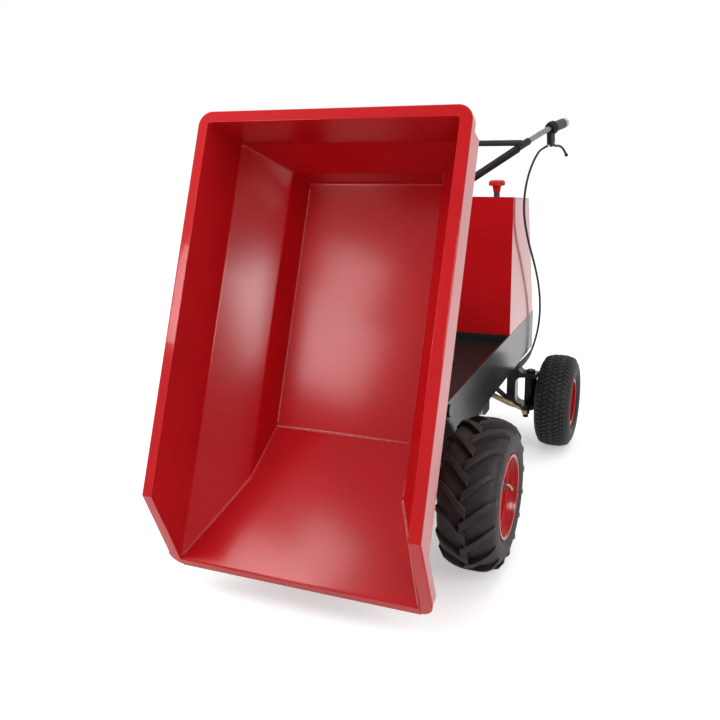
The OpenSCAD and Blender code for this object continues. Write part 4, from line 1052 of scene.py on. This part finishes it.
@dataclass
class FrontWheel(Wheel):
    """Driving wheel with a tractor-lug tyre, a shallow red disc and a black hub.

    Places along a lug are shares from its inner end to its shoulder, places across the tyre are
    shares of its half width.
    """

    end: str = "front"
    axle: Triple = (350, 0, 203)
    outer_r: float = 0.203
    half_w: float = 0.0825
    bead_r: float = 0.1015
    # Lugs: count, height, thickness, sweep, depth of the root, rounded edge, cuts of the first block
    lugs: int = 16
    lug_h: float = 0.017
    lug_t: float = 0.021
    sweep: float = math.radians(42)
    lug_sink: float = 0.005
    lug_edge: float = 0.0034
    lug_cuts: int = 5
    # A lug's reach past the middle and to the shoulder, its bow, its widening and its draft
    lug_lap: float = 0.008
    lug_reach: float = 0.925
    lug_bow: float = 0.10
    lug_wide: float = 1.5
    lug_taper: float = 0.62
    taper_end: float = 0.7
    lug_foot: float = 1.14
    lug_draft: float = 0.28
    # Fall of the crown, of a lug's nose and of its root at the shoulder, and where each starts
    crown_flat: float = 0.2
    crown_fall: float = 0.110
    nose_at: float = 0.82
    nose_drop: float = 0.012
    shoulder_at: float = 0.5
    shoulder_w: float = 0.43
    shoulder_drop: float = 0.034
    # Carcass, and the valve in the disc
    outer: Pairs = ((0.82, 0.0), (0.83, 0.13), (0.875, 0.19), (0.91, 0.28),
                    (0.945, 0.44), (0.94, 0.60), (0.88, 0.79), (0.72, 0.93),
                    (0.45, 0.985), (0.2, 1.0), (0.0, 1.0))
    valve_at: tuple[float, float] = (0.068, -0.003)
    stem_r: tuple[float, float] = (0.0040, 0.0048)

    def build(self) -> None:
        """Build the wheel's pieces and dress them."""
        shape = Tyre(self.bead_r, self.outer_r - self.lug_h, self.half_w, self.outer)
        self.tyre([self.carcass(shape), self.tread()], Finishes.TYRE_RUBBER)
        self.rim(self.rim_outline(), 72)
        self.hub()
        self.valve()

    def rim_outline(self) -> Outline:
        """Give the section of the rim with its disc in one piece."""
        corners = [(21.05, 46), (30, 46), (74, 44), (88, 46), (95, 50), (97.5, 57), (101.5, 66),
                   (105, 74), (113.5, 74), (113.5, 69.5), (107.5, 69), (104, 62), (101.5, 55),
                   (101.5, 45.5), (81.5, 33.5), (81.5, -33.5), (101.5, -45.5), (101.5, -62.1),
                   (113.5, -62.1), (113.5, -67.1), (97.5, -67.1), (97.5, -49.5), (77.5, -37.5),
                   (77.5, 37.5), (74, 40), (21.05, 40)]
        radii = [0.8, 8, 14, 5, 5, 4, 3, 2, 2, 1.5, 3, 3, 3, 3, 3, 3, 3, 1.5, 1.5, 2.4, 2.4, 4, 3, 2, 2,
                 0.8]
        return section(corners, radii, 4)

    def tread(self) -> bpy.types.Object:
        """Shape one lug from a block, copy it round the tyre and mirror it to the other half.

        Returns:
            All lugs round the origin, outboard to +X.
        """
        Bench.clear()
        bpy.ops.mesh.primitive_cube_add(size=1.0)
        piece = bpy.context.object
        Bench.pick_all(piece)
        bpy.ops.mesh.subdivide(number_cuts=self.lug_cuts)
        Bench.done()
        for vertex in piece.data.vertices:
            vertex.co = self.wrap(vertex.co)
        Bench.clean(piece)
        Bench.bevelled(piece, self.lug_edge, 3, 45)
        Bench.repeated(piece, self.lugs)
        other = bpy.data.objects.new("other_half", piece.data.copy())
        bpy.context.scene.collection.objects.link(other)
        half_pitch = math.pi / self.lugs
        other.data.transform(Matrix.Rotation(half_pitch, 4, "X") @ Matrix.Diagonal((-1, 1, 1, 1)))
        Bench.clean(other)
        return Bench.joined([piece, other], "tread")

    def wrap(self, corner: Vector) -> Vector:
        """Lay a point of the unit block on the tyre as a point of a swept lug.

        Args:
            corner: Point of the block, x to the shoulder, y along the tread, z outwards.

        Returns:
            The point on the tyre, outboard to +X.
        """
        share, lift = corner.x + 0.5, corner.z + 0.5
        along = -self.lug_lap + share * (self.half_w * self.lug_reach + self.lug_lap)
        crown = abs(along) / self.half_w
        fall = max(crown - self.crown_flat, 0.0) / (1.0 - self.crown_flat)
        nose = max(share - self.nose_at, 0.0) / (1.0 - self.nose_at)
        sunk = max(crown - self.shoulder_at, 0.0) / self.shoulder_w
        top = self.outer_r * (1.0 - self.crown_fall * fall ** 2) - self.nose_drop * nose
        root = self.outer_r - self.lug_h - self.lug_sink - self.shoulder_drop * sunk ** 1.5
        radius = root + (top - root) * lift
        wide = self.lug_wide - self.lug_taper * min(share / self.taper_end, 1.0)
        thick = self.lug_t * wide * (self.lug_foot - self.lug_draft * lift)
        bow = 1.0 + self.lug_bow * math.sin(math.pi * share)
        angle = (along * math.tan(self.sweep) * bow + corner.y * thick) / self.outer_r
        return Vector((along, -radius * math.sin(angle), -radius * math.cos(angle)))

    def hub(self) -> None:
        """Turn the half shaft with its flange behind the disc, and the cap in the disc's middle."""
        shaft = [(0, -98), (17, -98), (17, 33.8), (55, 33.8), (55, 39.9), (20.9, 39.9), (20.9, 45),
                 (0, 45)]
        cap = [(0, 44.9), (20.9, 44.9), (20.9, 47.4), (13, 49), (0, 49.4)]
        for name, corners, radii, finish in (
                ("_hub_shaft", shaft, (0, 1, 1, 2, 1, 0.5, 1, 0), Finishes.BLACK_PAINT),
                ("_hub_cap", cap, (0, 0.4, 1.2, 4, 0), Finishes.RED_PAINT)):
            outline = section(corners, radii, 3)
            piece = Bench.spun(self.word + name, outline, 48, self.middle, self.side)
            Bench.smooth(piece, 30.0)
            self.dresser.dress(piece, self.body, finish, self.word + "_front_hub")

    def valve(self) -> None:
        """Set a rubber grommet in the disc with a bent valve stem in it."""
        place = self.middle + Vector((0, *self.valve_at))
        corners = [(0, 44), (15.5, 44), (15.5, 46.6), (12, 48.2), (9, 46.4), (0, 45.6)]
        outline = section(corners, (0, 0.4, 1.2, 1.2, 0.8, 0), 3)
        grommet = Bench.spun(self.word + "_valve_grommet", outline, 36, place, self.side)
        Bench.smooth(grommet, 40.0)
        self.dresser.dress(grommet, self.body, Finishes.MOULDED_RUBBER)
        bends = ((44, 0, 4), (49, 0, 5), (55, 1, 4), (59, 4, -1), (61, 8, -8), (62, 10, -13))
        line = eased([place + Vector((self.side * a * MM, b * MM, c * MM)) for a, b, c in bends], 3)
        (thin, thick), cap_points = self.stem_r, 4
        sizes = [thin] * (len(line) - cap_points) + [thick] * cap_points
        stem = Bench.swept(self.word + "_valve_stem", tube_sections(line, sizes, 12))
        Bench.smooth(stem, 50.0)
        self.dresser.dress(stem, self.body, Finishes.YELLOW_ZINC)


@dataclass
class RearWheel(Wheel):
    """Steered wheel with a turf tyre and a shallow red disc."""

    end: str = "rear"
    axle: Triple = (392.5, WHEELBASE, 165.5)
    outer_r: float = 0.1655
    half_w: float = 0.0635
    bead_r: float = 0.076
    groove: float = 0.0055
    blocks: int = 60
    rows: int = 5
    row_pitch: float = 0.021
    block_w: float = 0.0165
    block_l: float = 0.0130
    block_draft: float = 0.002
    block_slant: float = 0.0030
    block_sink: float = 0.003
    block_edge: float = 0.0012
    crown_flat: float = 0.3
    crown_fall: float = 0.030
    outer: Pairs = ((0.75, 0.0), (0.75, 0.15), (0.84, 0.21), (0.93, 0.31),
                    (0.985, 0.46), (0.965, 0.64), (0.86, 0.82), (0.64, 0.93),
                    (0.3, 0.99), (0.0, 1.0))

    def build(self) -> None:
        """Build the wheel's pieces and dress them."""
        shape = Tyre(self.bead_r, self.outer_r - self.groove, self.half_w, self.outer)
        parts = [self.carcass(shape)]
        for row in range(self.rows):
            parts.append(self.block_row((row - self.rows // 2) * self.row_pitch, row))
        self.tyre(parts, Finishes.TURF_RUBBER)
        self.rim(self.rim_outline(), 64)
        self.dresser.soften(self.word + "_rear_bearings", self.body, Finishes.BRIGHT_STEEL, 0.0006)

    def rim_outline(self) -> Outline:
        """Give the section of the rim with its disc and hub in one piece."""
        corners = [(23.55, 35), (30, 35), (30, 34.6), (56, 34.2), (64, 35.5), (72, 38.1), (72, 52.9),
                   (88, 52.9), (88, 47.9), (76, 47.9), (76, 34.1), (56, 22.1), (56, -22.1), (76, -34.1),
                   (76, -47.9), (88, -47.9), (88, -52.9), (72, -52.9), (72, -38.1), (52, -26.1),
                   (52, 26.1), (50, 28.6), (30, 28.6), (30, -35), (23.55, -35)]
        radii = [0.6, 0.1, 0.1, 8, 5, 3, 2.4, 2.4, 1.5, 1.5, 3, 3, 3, 3, 1.5, 1.5, 2.4, 2.4, 3, 3, 2, 1,
                 1, 1, 0.6]
        return section(corners, radii, 3)

    def block_row(self, along: float, row: int) -> bpy.types.Object:
        """Shape one tread block and copy it once round the tyre.

        Args:
            along: Place of the row across the tyre.
            row: Number of the row, which sets its slant and its start.

        Returns:
            The row of blocks round the origin.
        """
        Bench.clear()
        bpy.ops.mesh.primitive_cube_add(size=1.0)
        piece = bpy.context.object
        odd = row % 2 == 1
        slant = self.block_slant if odd else -self.block_slant
        start = math.pi / self.blocks if odd else 0.0
        for vertex in piece.data.vertices:
            x, y, z = vertex.co
            place = along + x * (self.block_w - self.block_draft * z)
            crown = abs(place) / self.half_w
            top = self.outer_r - self.crown_fall * max(crown - self.crown_flat, 0.0) ** 1.5
            radius = top - (0.5 - z) * (self.groove + self.block_sink)
            angle = (y * (self.block_l - self.block_draft * z) + 2 * x * slant) / self.outer_r + start
            vertex.co = (place, radius * math.sin(angle), radius * math.cos(angle))
        Bench.bevelled(piece, self.block_edge, 1, 45)
        Bench.repeated(piece, self.blocks)
        return piece


def tube_sections(line: Sequence[Vector], radius: float | Sequence[float],
                  sides: int) -> list[list[Vector]]:
    """Give round sections along a line, without twist.

    Args:
        line: Points of the line.
        radius: Radius of the tube, or its radius at each point.
        sides: Sides of the tube.

    Returns:
        The points of each section.
    """
    sections = []
    side = Vector((1, 0, 0))
    for index, point in enumerate(line):
        along = (line[min(index + 1, len(line) - 1)] - line[max(index - 1, 0)]).normalized()
        if index == 0 and abs(along.x) > 0.9:
            side = Vector((0, 0, 1))
        side = (side - along * side.dot(along)).normalized()
        up = along.cross(side)
        size = radius if isinstance(radius, float) else radius[index]
        sections.append([point + (side * math.cos(a) + up * math.sin(a)) * size for a in
                         (2 * math.pi * k / sides for k in range(sides))])
    return sections


@dataclass
class BrakeCable:
    """Brake cable from the lever's adjuster, outside the housing, to the drum under the deck."""

    dresser: Dresser
    thick: float = 0.008
    # Adjuster's mouth along and across the grip, and the points between which the cable bends
    mouth: tuple[float, float] = (0.0037, -0.056)
    bend_low: Triple = (0.278, 0.60, 0.92)
    bend_high: Triple = (0.278, 0.60, 1.045)
    boot_at: int = 47
    boot_r: tuple[float, ...] = (0.0048, 0.0064, 0.0078, 0.0086, 0.0092, 0.0096, 0.0098, 0.0096, 0.0090,
                                 0.0070)
    # Places on the machine in millimetres
    route: tuple[Triple, ...] = (
        (287, 1034, 1049), (281, 980, 1038), (276, 916, 1008), (273, 855, 966), (272, 815, 916),
        (272, 808, 860), (274, 830, 805), (276, 880, 744), (278, 945, 684), (280, 1008, 624),
        (281, 1065, 560), (280, 1110, 495), (278, 1130, 430), (274, 1120, 370), (267, 1082, 318),
        (262, 1040, 297), (256, 985, 287), (251, 930, 284), (246, 880, 285), (230, 830, 289),
        (210, 770, 292), (194, 690, 290), (188, 600, 288), (186, 500, 286), (186, 400, 284),
        (182, 310, 282), (165, 240, 281), (145, 200, 283), (136, 180, 284), (134, 161, 284))

    def build(self) -> None:
        along, up = self.mouth
        start = GRIP_BEND + GRIP_ALONG * along + GRIP_UP * up
        line = eased([start] + [spot(*place) for place in self.route], 3)
        piece = Bench.swept("brake_cable_skin", tube_sections(line, self.thick / 2, 10))
        Bench.smooth(piece, 60.0)
        self.dresser.paint(piece, Finishes.CABLE_JACKET)
        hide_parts("brake_cable")
        self.dresser.replaced.add("brake_cable")
        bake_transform(piece)
        boot = self.boot(line)

    def boot(self, line: Sequence[Vector]) -> bpy.types.Object:
        """Turn a tapered boot on the cable where it goes in under the rail.

        Args:
            line: Points of the cable.

        Returns:
            The boot.
        """
        part = line[self.boot_at:self.boot_at + len(self.boot_r)]
        piece = Bench.swept("cable_boot", tube_sections(part, self.boot_r, 14))
        Bench.smooth(piece, 50.0)
        self.dresser.dress(piece, "chassis", Finishes.MOULDED_RUBBER)
        return piece


@dataclass
class Chassis:
    """Rails, deck, axle parts, steering gear and latch, each softened over its solid."""

    dresser: Dresser
    # Forks in millimetres along the machine, and their rounded edge in metres
    fork_l: float = 56
    fork_edge: float = 0.0045
    # Tie rods in millimetres: outer eyes, then side, its sign and the inner eye's height
    kingpin_x: float = 293
    arm_y: float = 842
    stud_z: float = 138
    rods: tuple[tuple[str, int, float], ...] = (("left", 1, 256), ("right", -1, 220))
    # Thick tube of a tie rod: shares of the rod and the radius at each
    tube_at: tuple[float, ...] = (0.18, 0.19, 0.81, 0.82)
    tube_r: tuple[float, ...] = (0.0084, 0.0098, 0.0098, 0.0084)

    def build(self) -> None:
        """Soften each solid and dress it."""
        black, satin, steel = Finishes.BLACK_PAINT, Finishes.SATIN_BLACK, Finishes.BRIGHT_STEEL
        glossy = {"side_rails": 0.0012, "gear_case": 0.0040, "drive_motor": 0.0030,
                  "brake_drum": 0.0030, "axle_braces": 0.0010, "kingpins": 0.0020, "hinge_pin": 0.0010}
        plain = {"deck_plate": 0.0010, "cross_members": 0.0025, "latch_brackets": 0.0010,
                 "steering_bearer": 0.0010, "axle_housing": 0.0020, "axle_hangers": 0.0015,
                 "axle_stays": 0.0010, "upper_bearer": 0.0010}
        for node, width in glossy.items():
            self.dresser.soften(node, "chassis", black, width)
        for node, width in plain.items():
            self.dresser.soften(node, "chassis", satin, width)
        self.dresser.soften("axle_fasteners", "chassis", steel, 0.0010)
        self.dresser.soften("bump_stops", "chassis", Finishes.MOULDED_RUBBER, 0.0030, 3)
        self.dresser.soften("column_bushes", "chassis", Finishes.BRONZE, 0.0006, play=0.0003)
        self.dresser.soften("latch_lever", "latch", steel, 0.0010)
        for word in ("left", "right"):
            self.dresser.soften(word + "_knuckle", word + "_steer", black, 0.0015)
            self.dresser.soften(word + "_tie_rod", word + "_link", Finishes.YELLOW_ZINC, 0.0010)
        for word, side, _ in self.rods:
            self.fork(word, side)
        for word, side, eye_z in self.rods:
            stud = spot(self.kingpin_x * side, self.arm_y, self.stud_z)
            self.sleeve(word, spot(0, self.arm_y, eye_z), stud)

    def fork(self, word: str, side: int) -> None:
        """Cut the thick rounded fork that holds a kingpin.

        Args:
            word: Side of the machine.
            side: 1 on the left, -1 on the right.
        """
        corners = [(210, 128), (319, 128), (319, 144), (242, 144), (242, 246), (319, 246), (319, 262),
                   (262, 262), (242, 290), (242, 305), (210, 305)]
        radii = (34, 8, 3, 24, 28, 3, 12, 22, 10, 0, 0)
        outline = [(x * MM * side, z * MM) for x, z in rounded(corners, radii, 6)]
        piece = Bench.plate(word + "_fork_skin", outline, self.fork_l * MM, self.fork_edge)
        stand = Matrix.Rotation(math.radians(90), 4, "X")
        piece.data.transform(Matrix.Translation(spot(0, WHEELBASE + self.fork_l / 2, 0)) @ stand)
        Bench.clean(piece)
        Bench.smooth(piece, 32.0)
        self.dresser.dress(piece, "chassis", Finishes.BLACK_PAINT, "axle_forks")

    def sleeve(self, word: str, inner: Vector, outer: Vector) -> None:
        """Slide the thick middle tube over a tie rod.

        Args:
            word: Side of the machine.
            inner: Eye at the pitman arm.
            outer: Eye at the knuckle.
        """
        line = [inner.lerp(outer, share) for share in self.tube_at]
        piece = Bench.swept(word + "_tie_rod_tube", tube_sections(line, self.tube_r, 20))
        Bench.smooth(piece, 40.0)
        self.dresser.dress(piece, word + "_link", Finishes.YELLOW_ZINC)


@dataclass
class Housing:
    """Red sheet housing with its lid, what it holds and the stop knob on top."""

    dresser: Dresser

    def build(self) -> None:
        """Soften each solid and dress it."""
        for node in ("housing_shell", "housing_lid", "rear_panel"):
            self.dresser.soften(node, "chassis", Finishes.GLOSS_RED, 0.0020, 3)
        self.dresser.soften("batteries", "chassis", Finishes.BLACK_PLASTIC, 0.0030)
        self.dresser.soften("stop_switch", "chassis", Finishes.BLACK_PLASTIC, 0.0010)
        self.dresser.soften("controller", "chassis", Finishes.CAST_ALUMINIUM, 0.0008)
        self.dresser.soften("stop_knob", "stop_button", Finishes.RED_PLASTIC, 0.0022, 4)
        self.dresser.soften("knob_stem", "stop_button", Finishes.BLACK_PLASTIC, 0.0010)


@dataclass
class Handlebar:
    """Steering column, V frame, handle tubes, grips and the brake lever."""

    dresser: Dresser
    # Places on the machine in millimetres, radii in metres: weld of a handle, crossbar, head, slopes
    corner: Triple = (221, 915, 1055)
    bar: tuple[float, float] = (234, 1071.5)
    bar_r: float = 0.0100
    head_z: tuple[float, ...] = (902, 904, 938, 940)
    head_r: tuple[float, ...] = (0.0280, 0.0300, 0.0300, 0.0280)
    slope_z: float = 912
    slope_top: tuple[float, float] = (222, 1053.2)
    slope_r: tuple[float, ...] = (0.0135, 0.0135, 0.0124)
    slope_end: float = 0.992
    # Sleeves and handle tubes: shares of the way from the weld to the grip's bend, then metres past it
    sleeve_at: tuple[float, ...] = (0.0, 0.01, 0.37, 0.385)
    sleeve_r: tuple[float, ...] = (0.0116, 0.0126, 0.0126, 0.0112)
    handle_r: float = 0.0096
    handle_at: tuple[float, float] = (0.3, 0.6)
    handle_bend: float = 0.022
    handle_ends: tuple[float, float] = (0.080, 0.150)
    # Grip's ribs and the lever's blade from its pivot, in millimetres in the grip's frame
    ribs: int = 11
    rib_pitch: float = 6.6
    pivot: tuple[float, float] = (44, -52)
    blade: Pairs = ((-4, 1), (0, 0), (16, -9), (41, -17), (67, -22), (94, -34),
                    (114, -50), (125.6, -62))
    blade_r: float = 0.0051
    blade_taper: float = 0.0007
    taper_points: int = 12
    ball_r: float = 0.0068
    ball_steps: int = 9

    def build(self) -> None:
        """Build the tubes, the grips and the lever, and soften the other solids."""
        black, satin, steel = Finishes.BLACK_PAINT, Finishes.SATIN_BLACK, Finishes.BRIGHT_STEEL
        self.dresser.soften("steering_column", "handlebar", satin, 0.0010)
        self.dresser.soften("pitman_arm", "handlebar", black, 0.0012)
        self.dresser.soften("bar_clamps", "handlebar", satin, 0.0016)
        self.dresser.soften("lever_fittings", "handlebar", steel, 0.0012)
        self.frame()
        for side in (1, -1):
            self.handle(side)
        self.grip("left_grip", 1, "handlebar")
        self.grip("throttle_grip", -1, "throttle")
        self.collar()
        self.lever()

    def grip_place(self, side: int) -> Matrix:
        """Give the way from a grip's frame, x along it and z up, to the part's frame."""
        along, up = mirrored(GRIP_ALONG, side), mirrored(GRIP_UP, side)
        turn = Matrix((along, up.cross(along), up)).transposed().to_4x4()
        return Matrix.Translation(mirrored(GRIP_BEND, side)) @ turn

    def corner_at(self, side: int) -> Vector:
        """Give the place where a handle tube is welded to the frame."""
        return mirrored(spot(*self.corner), side)

    @staticmethod
    def tube(name: str, line: Sequence[Vector], sizes: float | Sequence[float]) -> bpy.types.Object:
        """Sweep a round tube along a line.

        Args:
            name: Name of the piece.
            line: Points of its axis.
            sizes: Its radius, or its radius at each point.

        Returns:
            The tube.
        """
        piece = Bench.swept(name, tube_sections(line, sizes, 28))
        Bench.smooth(piece, 40.0)
        return piece

    def frame(self) -> None:
        """Weld the head, the crossbar, the two sloping tubes and the handles' sleeves together."""
        half, bar_z = self.bar
        bar = [spot(x, WHEELBASE, bar_z) for x in (-half, half)]
        head = [spot(0, WHEELBASE, z) for z in self.head_z]
        parts = [self.tube("crossbar", bar, self.bar_r), self.tube("head", head, self.head_r)]
        low, (top_x, top_z) = spot(0, WHEELBASE, self.slope_z), self.slope_top
        for side in (1, -1):
            high = spot(top_x * side, WHEELBASE, top_z)
            parts.append(self.tube("slope", [low, low.lerp(high, self.slope_end), high], self.slope_r))
            start, end = self.corner_at(side), mirrored(GRIP_BEND, side)
            line = [start.lerp(end, share) for share in self.sleeve_at]
            parts.append(self.tube("sleeve", line, self.sleeve_r))
        piece = Bench.joined(parts, "handlebar_frame_skin")
        self.dresser.dress(piece, "handlebar", Finishes.SATIN_BLACK, "handlebar_frame")

    def handle(self, side: int) -> None:
        """Bend a handle tube from its sleeve into its grip."""
        start, end = self.corner_at(side), mirrored(GRIP_BEND, side)
        back = (end - start).normalized()
        along = mirrored(GRIP_ALONG, side)
        points = [start.lerp(end, share) for share in self.handle_at]
        points.append(end - back * self.handle_bend)
        points += [end + along * reach for reach in (self.handle_bend, *self.handle_ends)]
        name = "left_handle_tube" if side > 0 else "right_handle_tube"
        piece = self.tube(name, eased(points, 5), self.handle_r)
        self.dresser.dress(piece, "handlebar", Finishes.HANDLE_STEEL, "handle_tubes")

    def grip(self, node: str, side: int, body: str) -> None:
        """Turn a ribbed grip and its pale end cap.

        Args:
            node: Solid that the grip stands for.
            side: 1 on the left, -1 on the right.
            body: Body that it moves with.
        """
        ribbed: Outline = [(9.8, 62), (19, 62), (19, 65.5), (17, 67)]
        for rib in range(self.ribs):
            at = 70 + self.rib_pitch * rib
            ribbed += [(17, at), (17.9, at + 1.2), (17.9, at + 3.6), (17, at + 4.8)]
        ribbed += [(17, 143.5), (9.8, 143.5)]
        cap: Outline = [(0, 143), (17.6, 143), (18, 144), (18, 159), (16, 164.5), (9, 166.5), (0, 167)]
        for name, corners, finish in ((node + "_skin", ribbed, Finishes.MOULDED_RUBBER),
                                      (node + "_cap", cap, Finishes.PALE_CAP)):
            outline = [(r * MM, a * MM) for r, a in corners]
            piece = Bench.spun(name, outline, 40, Vector())
            piece.data.transform(self.grip_place(side))
            Bench.smooth(piece, 40.0)
            self.dresser.dress(piece, body, finish, node)

    def collar(self) -> None:
        """Turn the two thick rings of the lever's clamp."""
        corners = [(11, 34), (19.6, 34), (20.6, 36), (20.6, 43), (19.2, 44.5), (19.2, 46), (22.4, 46.2),
                   (23.4, 48), (23.4, 59), (22.2, 61), (11, 61)]
        piece = Bench.spun("lever_collar", [(r * MM, a * MM) for r, a in corners], 48, Vector())
        piece.data.transform(self.grip_place(1))
        Bench.smooth(piece, 35.0)
        self.dresser.dress(piece, "handlebar", Finishes.SATIN_BLACK, "bar_clamps")

    def lever(self) -> None:
        """Bend the lever's blade and swell its end to a ball."""
        x, z = self.pivot
        line = eased([Vector(((x + a) * MM, 0, (z + b) * MM)) for a, b in self.blade], 4)
        sizes = [self.blade_r - self.blade_taper * min(index / self.taper_points, 1.0)
                 for index in range(len(line))]
        ball, neck = self.ball_r, sizes[-1]
        out = (line[-1] - line[-2]).normalized()
        middle = line[-1] + out * math.sqrt(ball ** 2 - neck ** 2)
        first, last = math.asin(neck / ball), math.radians(174)
        for step in range(1, self.ball_steps + 1):
            angle = first + (last - first) * step / self.ball_steps
            line.append(middle - out * ball * math.cos(angle))
            sizes.append(ball * math.sin(angle))
        piece = self.tube("brake_lever_skin", line, sizes)
        piece.data.transform(self.grip_place(1))
        self.dresser.dress(piece, "brake", Finishes.SATIN_BLACK, "brake_lever")


@dataclass
class Studio:
    """Pale floor, soft light and the camera."""

    eye: Triple = (0.8438, -2.3314, 1.1649)
    yaw: float = 0.4013
    pitch: float = 0.2842
    roll: float = -0.0252
    lens: float = 41.352
    world_light: float = 0.74
    floor_side: float = 60.0
    floor_white: float = 0.86
    floor_glow: float = 0.42

    def camera(self) -> None:
        """Set the camera where the picture was taken from."""
        yaw, pitch = self.yaw, self.pitch
        level = Vector((-math.sin(yaw), math.cos(yaw), 0))
        look = level * math.cos(pitch) - Vector((0, 0, math.sin(pitch)))
        right = Vector((math.cos(yaw), math.sin(yaw), 0))
        up = right.cross(look)
        c, s = math.cos(self.roll), math.sin(self.roll)
        across, over = right * c + up * s, up * c - right * s
        turn = Matrix((across, over, -look)).transposed()
        Bench.clear()
        bpy.ops.object.camera_add(location=self.eye, rotation=turn.to_euler())
        camera = bpy.context.object
        camera.data.lens = self.lens
        camera.data.sensor_width = 36.0
        bpy.context.scene.camera = camera

    def light(self) -> None:
        """Hang three soft lamps and three cards that only gloss shows, and light the world evenly."""
        middle = (0.0, 0.0, 0.5)
        for name, place, aim, size, power in (("key", (-1.2, -1.8, 2.3), middle, 1.2, 26.0),
                                              ("fill", (2.6, -1.6, 2.2), middle, 2.0, 22.0),
                                              ("top", (0.2, 0.6, 3.4), middle, 3.0, 34.0)):
            self.lamp(name, place, aim, size, power).visible_glossy = False
        for name, place, aim, size, high, power in (
                ("left_card", (-0.595, -1.297, 1.090), (0.0, -0.5, 0.6), 0.46, 0.32, 7.4),
                ("upper_card", (-0.502, -1.206, 1.349), (0.0, -0.5, 0.6), 0.24, 0.27, 2.9),
                ("right_card", (1.205, -0.96, 1.13), (-0.24, -0.45, 0.65), 0.28, 0.46, 12.5)):
            card = self.lamp(name, place, aim, size, power)
            card.data.shape = "RECTANGLE"
            card.data.size_y = high
            card.visible_diffuse = False
        world = bpy.data.worlds.new("studio")
        bpy.context.scene.world = world
        world.use_nodes = True
        nodes, links = world.node_tree.nodes, world.node_tree.links
        plain = nodes["Background"]
        plain.inputs["Color"].default_value = (1, 1, 1, 1)
        plain.inputs["Strength"].default_value = self.world_light
        seen = nodes.new("ShaderNodeBackground")
        seen.inputs["Color"].default_value = (1, 1, 1, 1)
        seen.inputs["Strength"].default_value = 1.0
        mix = nodes.new("ShaderNodeMixShader")
        links.new(self.seen_rays(nodes, links), mix.inputs[0])
        links.new(plain.outputs[0], mix.inputs[1])
        links.new(seen.outputs[0], mix.inputs[2])
        links.new(mix.outputs[0], nodes["World Output"].inputs[0])

    @staticmethod
    def lamp(name: str, place: Triple, aim: Triple, size: float, power: float) -> bpy.types.Object:
        """Hang a soft lamp that the camera doesn't see.

        Args:
            name: Its name.
            place: Where it hangs.
            aim: Point that it faces.
            size: Side of its square.
            power: Watts.

        Returns:
            The lamp.
        """
        Bench.clear()
        turn = (Vector(aim) - Vector(place)).to_track_quat("-Z", "Y").to_euler()
        bpy.ops.object.light_add(type="AREA", location=place, rotation=turn)
        lamp = bpy.context.object
        lamp.name = name
        lamp.data.energy = power
        lamp.data.size = size
        lamp.visible_camera = False
        return lamp

    @staticmethod
    def seen_rays(nodes: Any, links: Any) -> Any:
        """Give an output that is 1 for rays that see the background directly or in a reflection."""
        path = nodes.new("ShaderNodeLightPath")
        first = nodes.new("ShaderNodeMath")
        first.operation = "MAXIMUM"
        links.new(path.outputs["Is Camera Ray"], first.inputs[0])
        links.new(path.outputs["Is Glossy Ray"], first.inputs[1])
        second = nodes.new("ShaderNodeMath")
        second.operation = "MAXIMUM"
        links.new(first.outputs[0], second.inputs[0])
        links.new(path.outputs["Is Transmission Ray"], second.inputs[1])
        return second.outputs[0]

    def floor(self) -> None:
        """Lay a white floor that keeps the soft shadow of the machine."""
        Bench.clear()
        bpy.ops.mesh.primitive_plane_add(size=self.floor_side)
        floor = bpy.context.object
        floor.name = "studio_floor"
        material = bpy.data.materials.new("studio_white")
        material.use_nodes = True
        nodes, links = material.node_tree.nodes, material.node_tree.links
        shader = nodes["Principled BSDF"]
        white = self.floor_white
        shader.inputs["Base Color"].default_value = (white, white, white, 1)
        shader.inputs["Roughness"].default_value = 0.9
        glow = nodes.new("ShaderNodeEmission")
        glow.inputs["Color"].default_value = (1, 1, 1, 1)
        lift = nodes.new("ShaderNodeMath")
        lift.operation = "MULTIPLY"
        lift.inputs[1].default_value = self.floor_glow
        links.new(self.seen_rays(nodes, links), lift.inputs[0])
        links.new(lift.outputs[0], glow.inputs["Strength"])
        both = nodes.new("ShaderNodeAddShader")
        links.new(shader.outputs[0], both.inputs[0])
        links.new(glow.outputs[0], both.inputs[1])
        links.new(both.outputs[0], nodes["Material Output"].inputs[0])
        floor.data.materials.append(material)

    def build(self) -> None:
        """Set up the floor, the light and the camera."""
        bpy.context.scene.view_settings.view_transform = "Standard"
        self.camera()
        self.light()
        self.floor()


def main() -> None:
    """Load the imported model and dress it."""
    logging.basicConfig(level=logging.INFO, format="%(name)s: %(message)s")
    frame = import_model()
    dresser = Dresser(frame)
    Studio().build()
    BrakeCable(dresser).build()
    Bucket(dresser).build()
    for side in (1, -1):
        FrontWheel(dresser, side).build()
        RearWheel(dresser, side).build()
    Chassis(dresser).build()
    Housing(dresser).build()
    Handlebar(dresser).build()
    dresser.paint_rest()


if __name__ == "__main__":
    main()
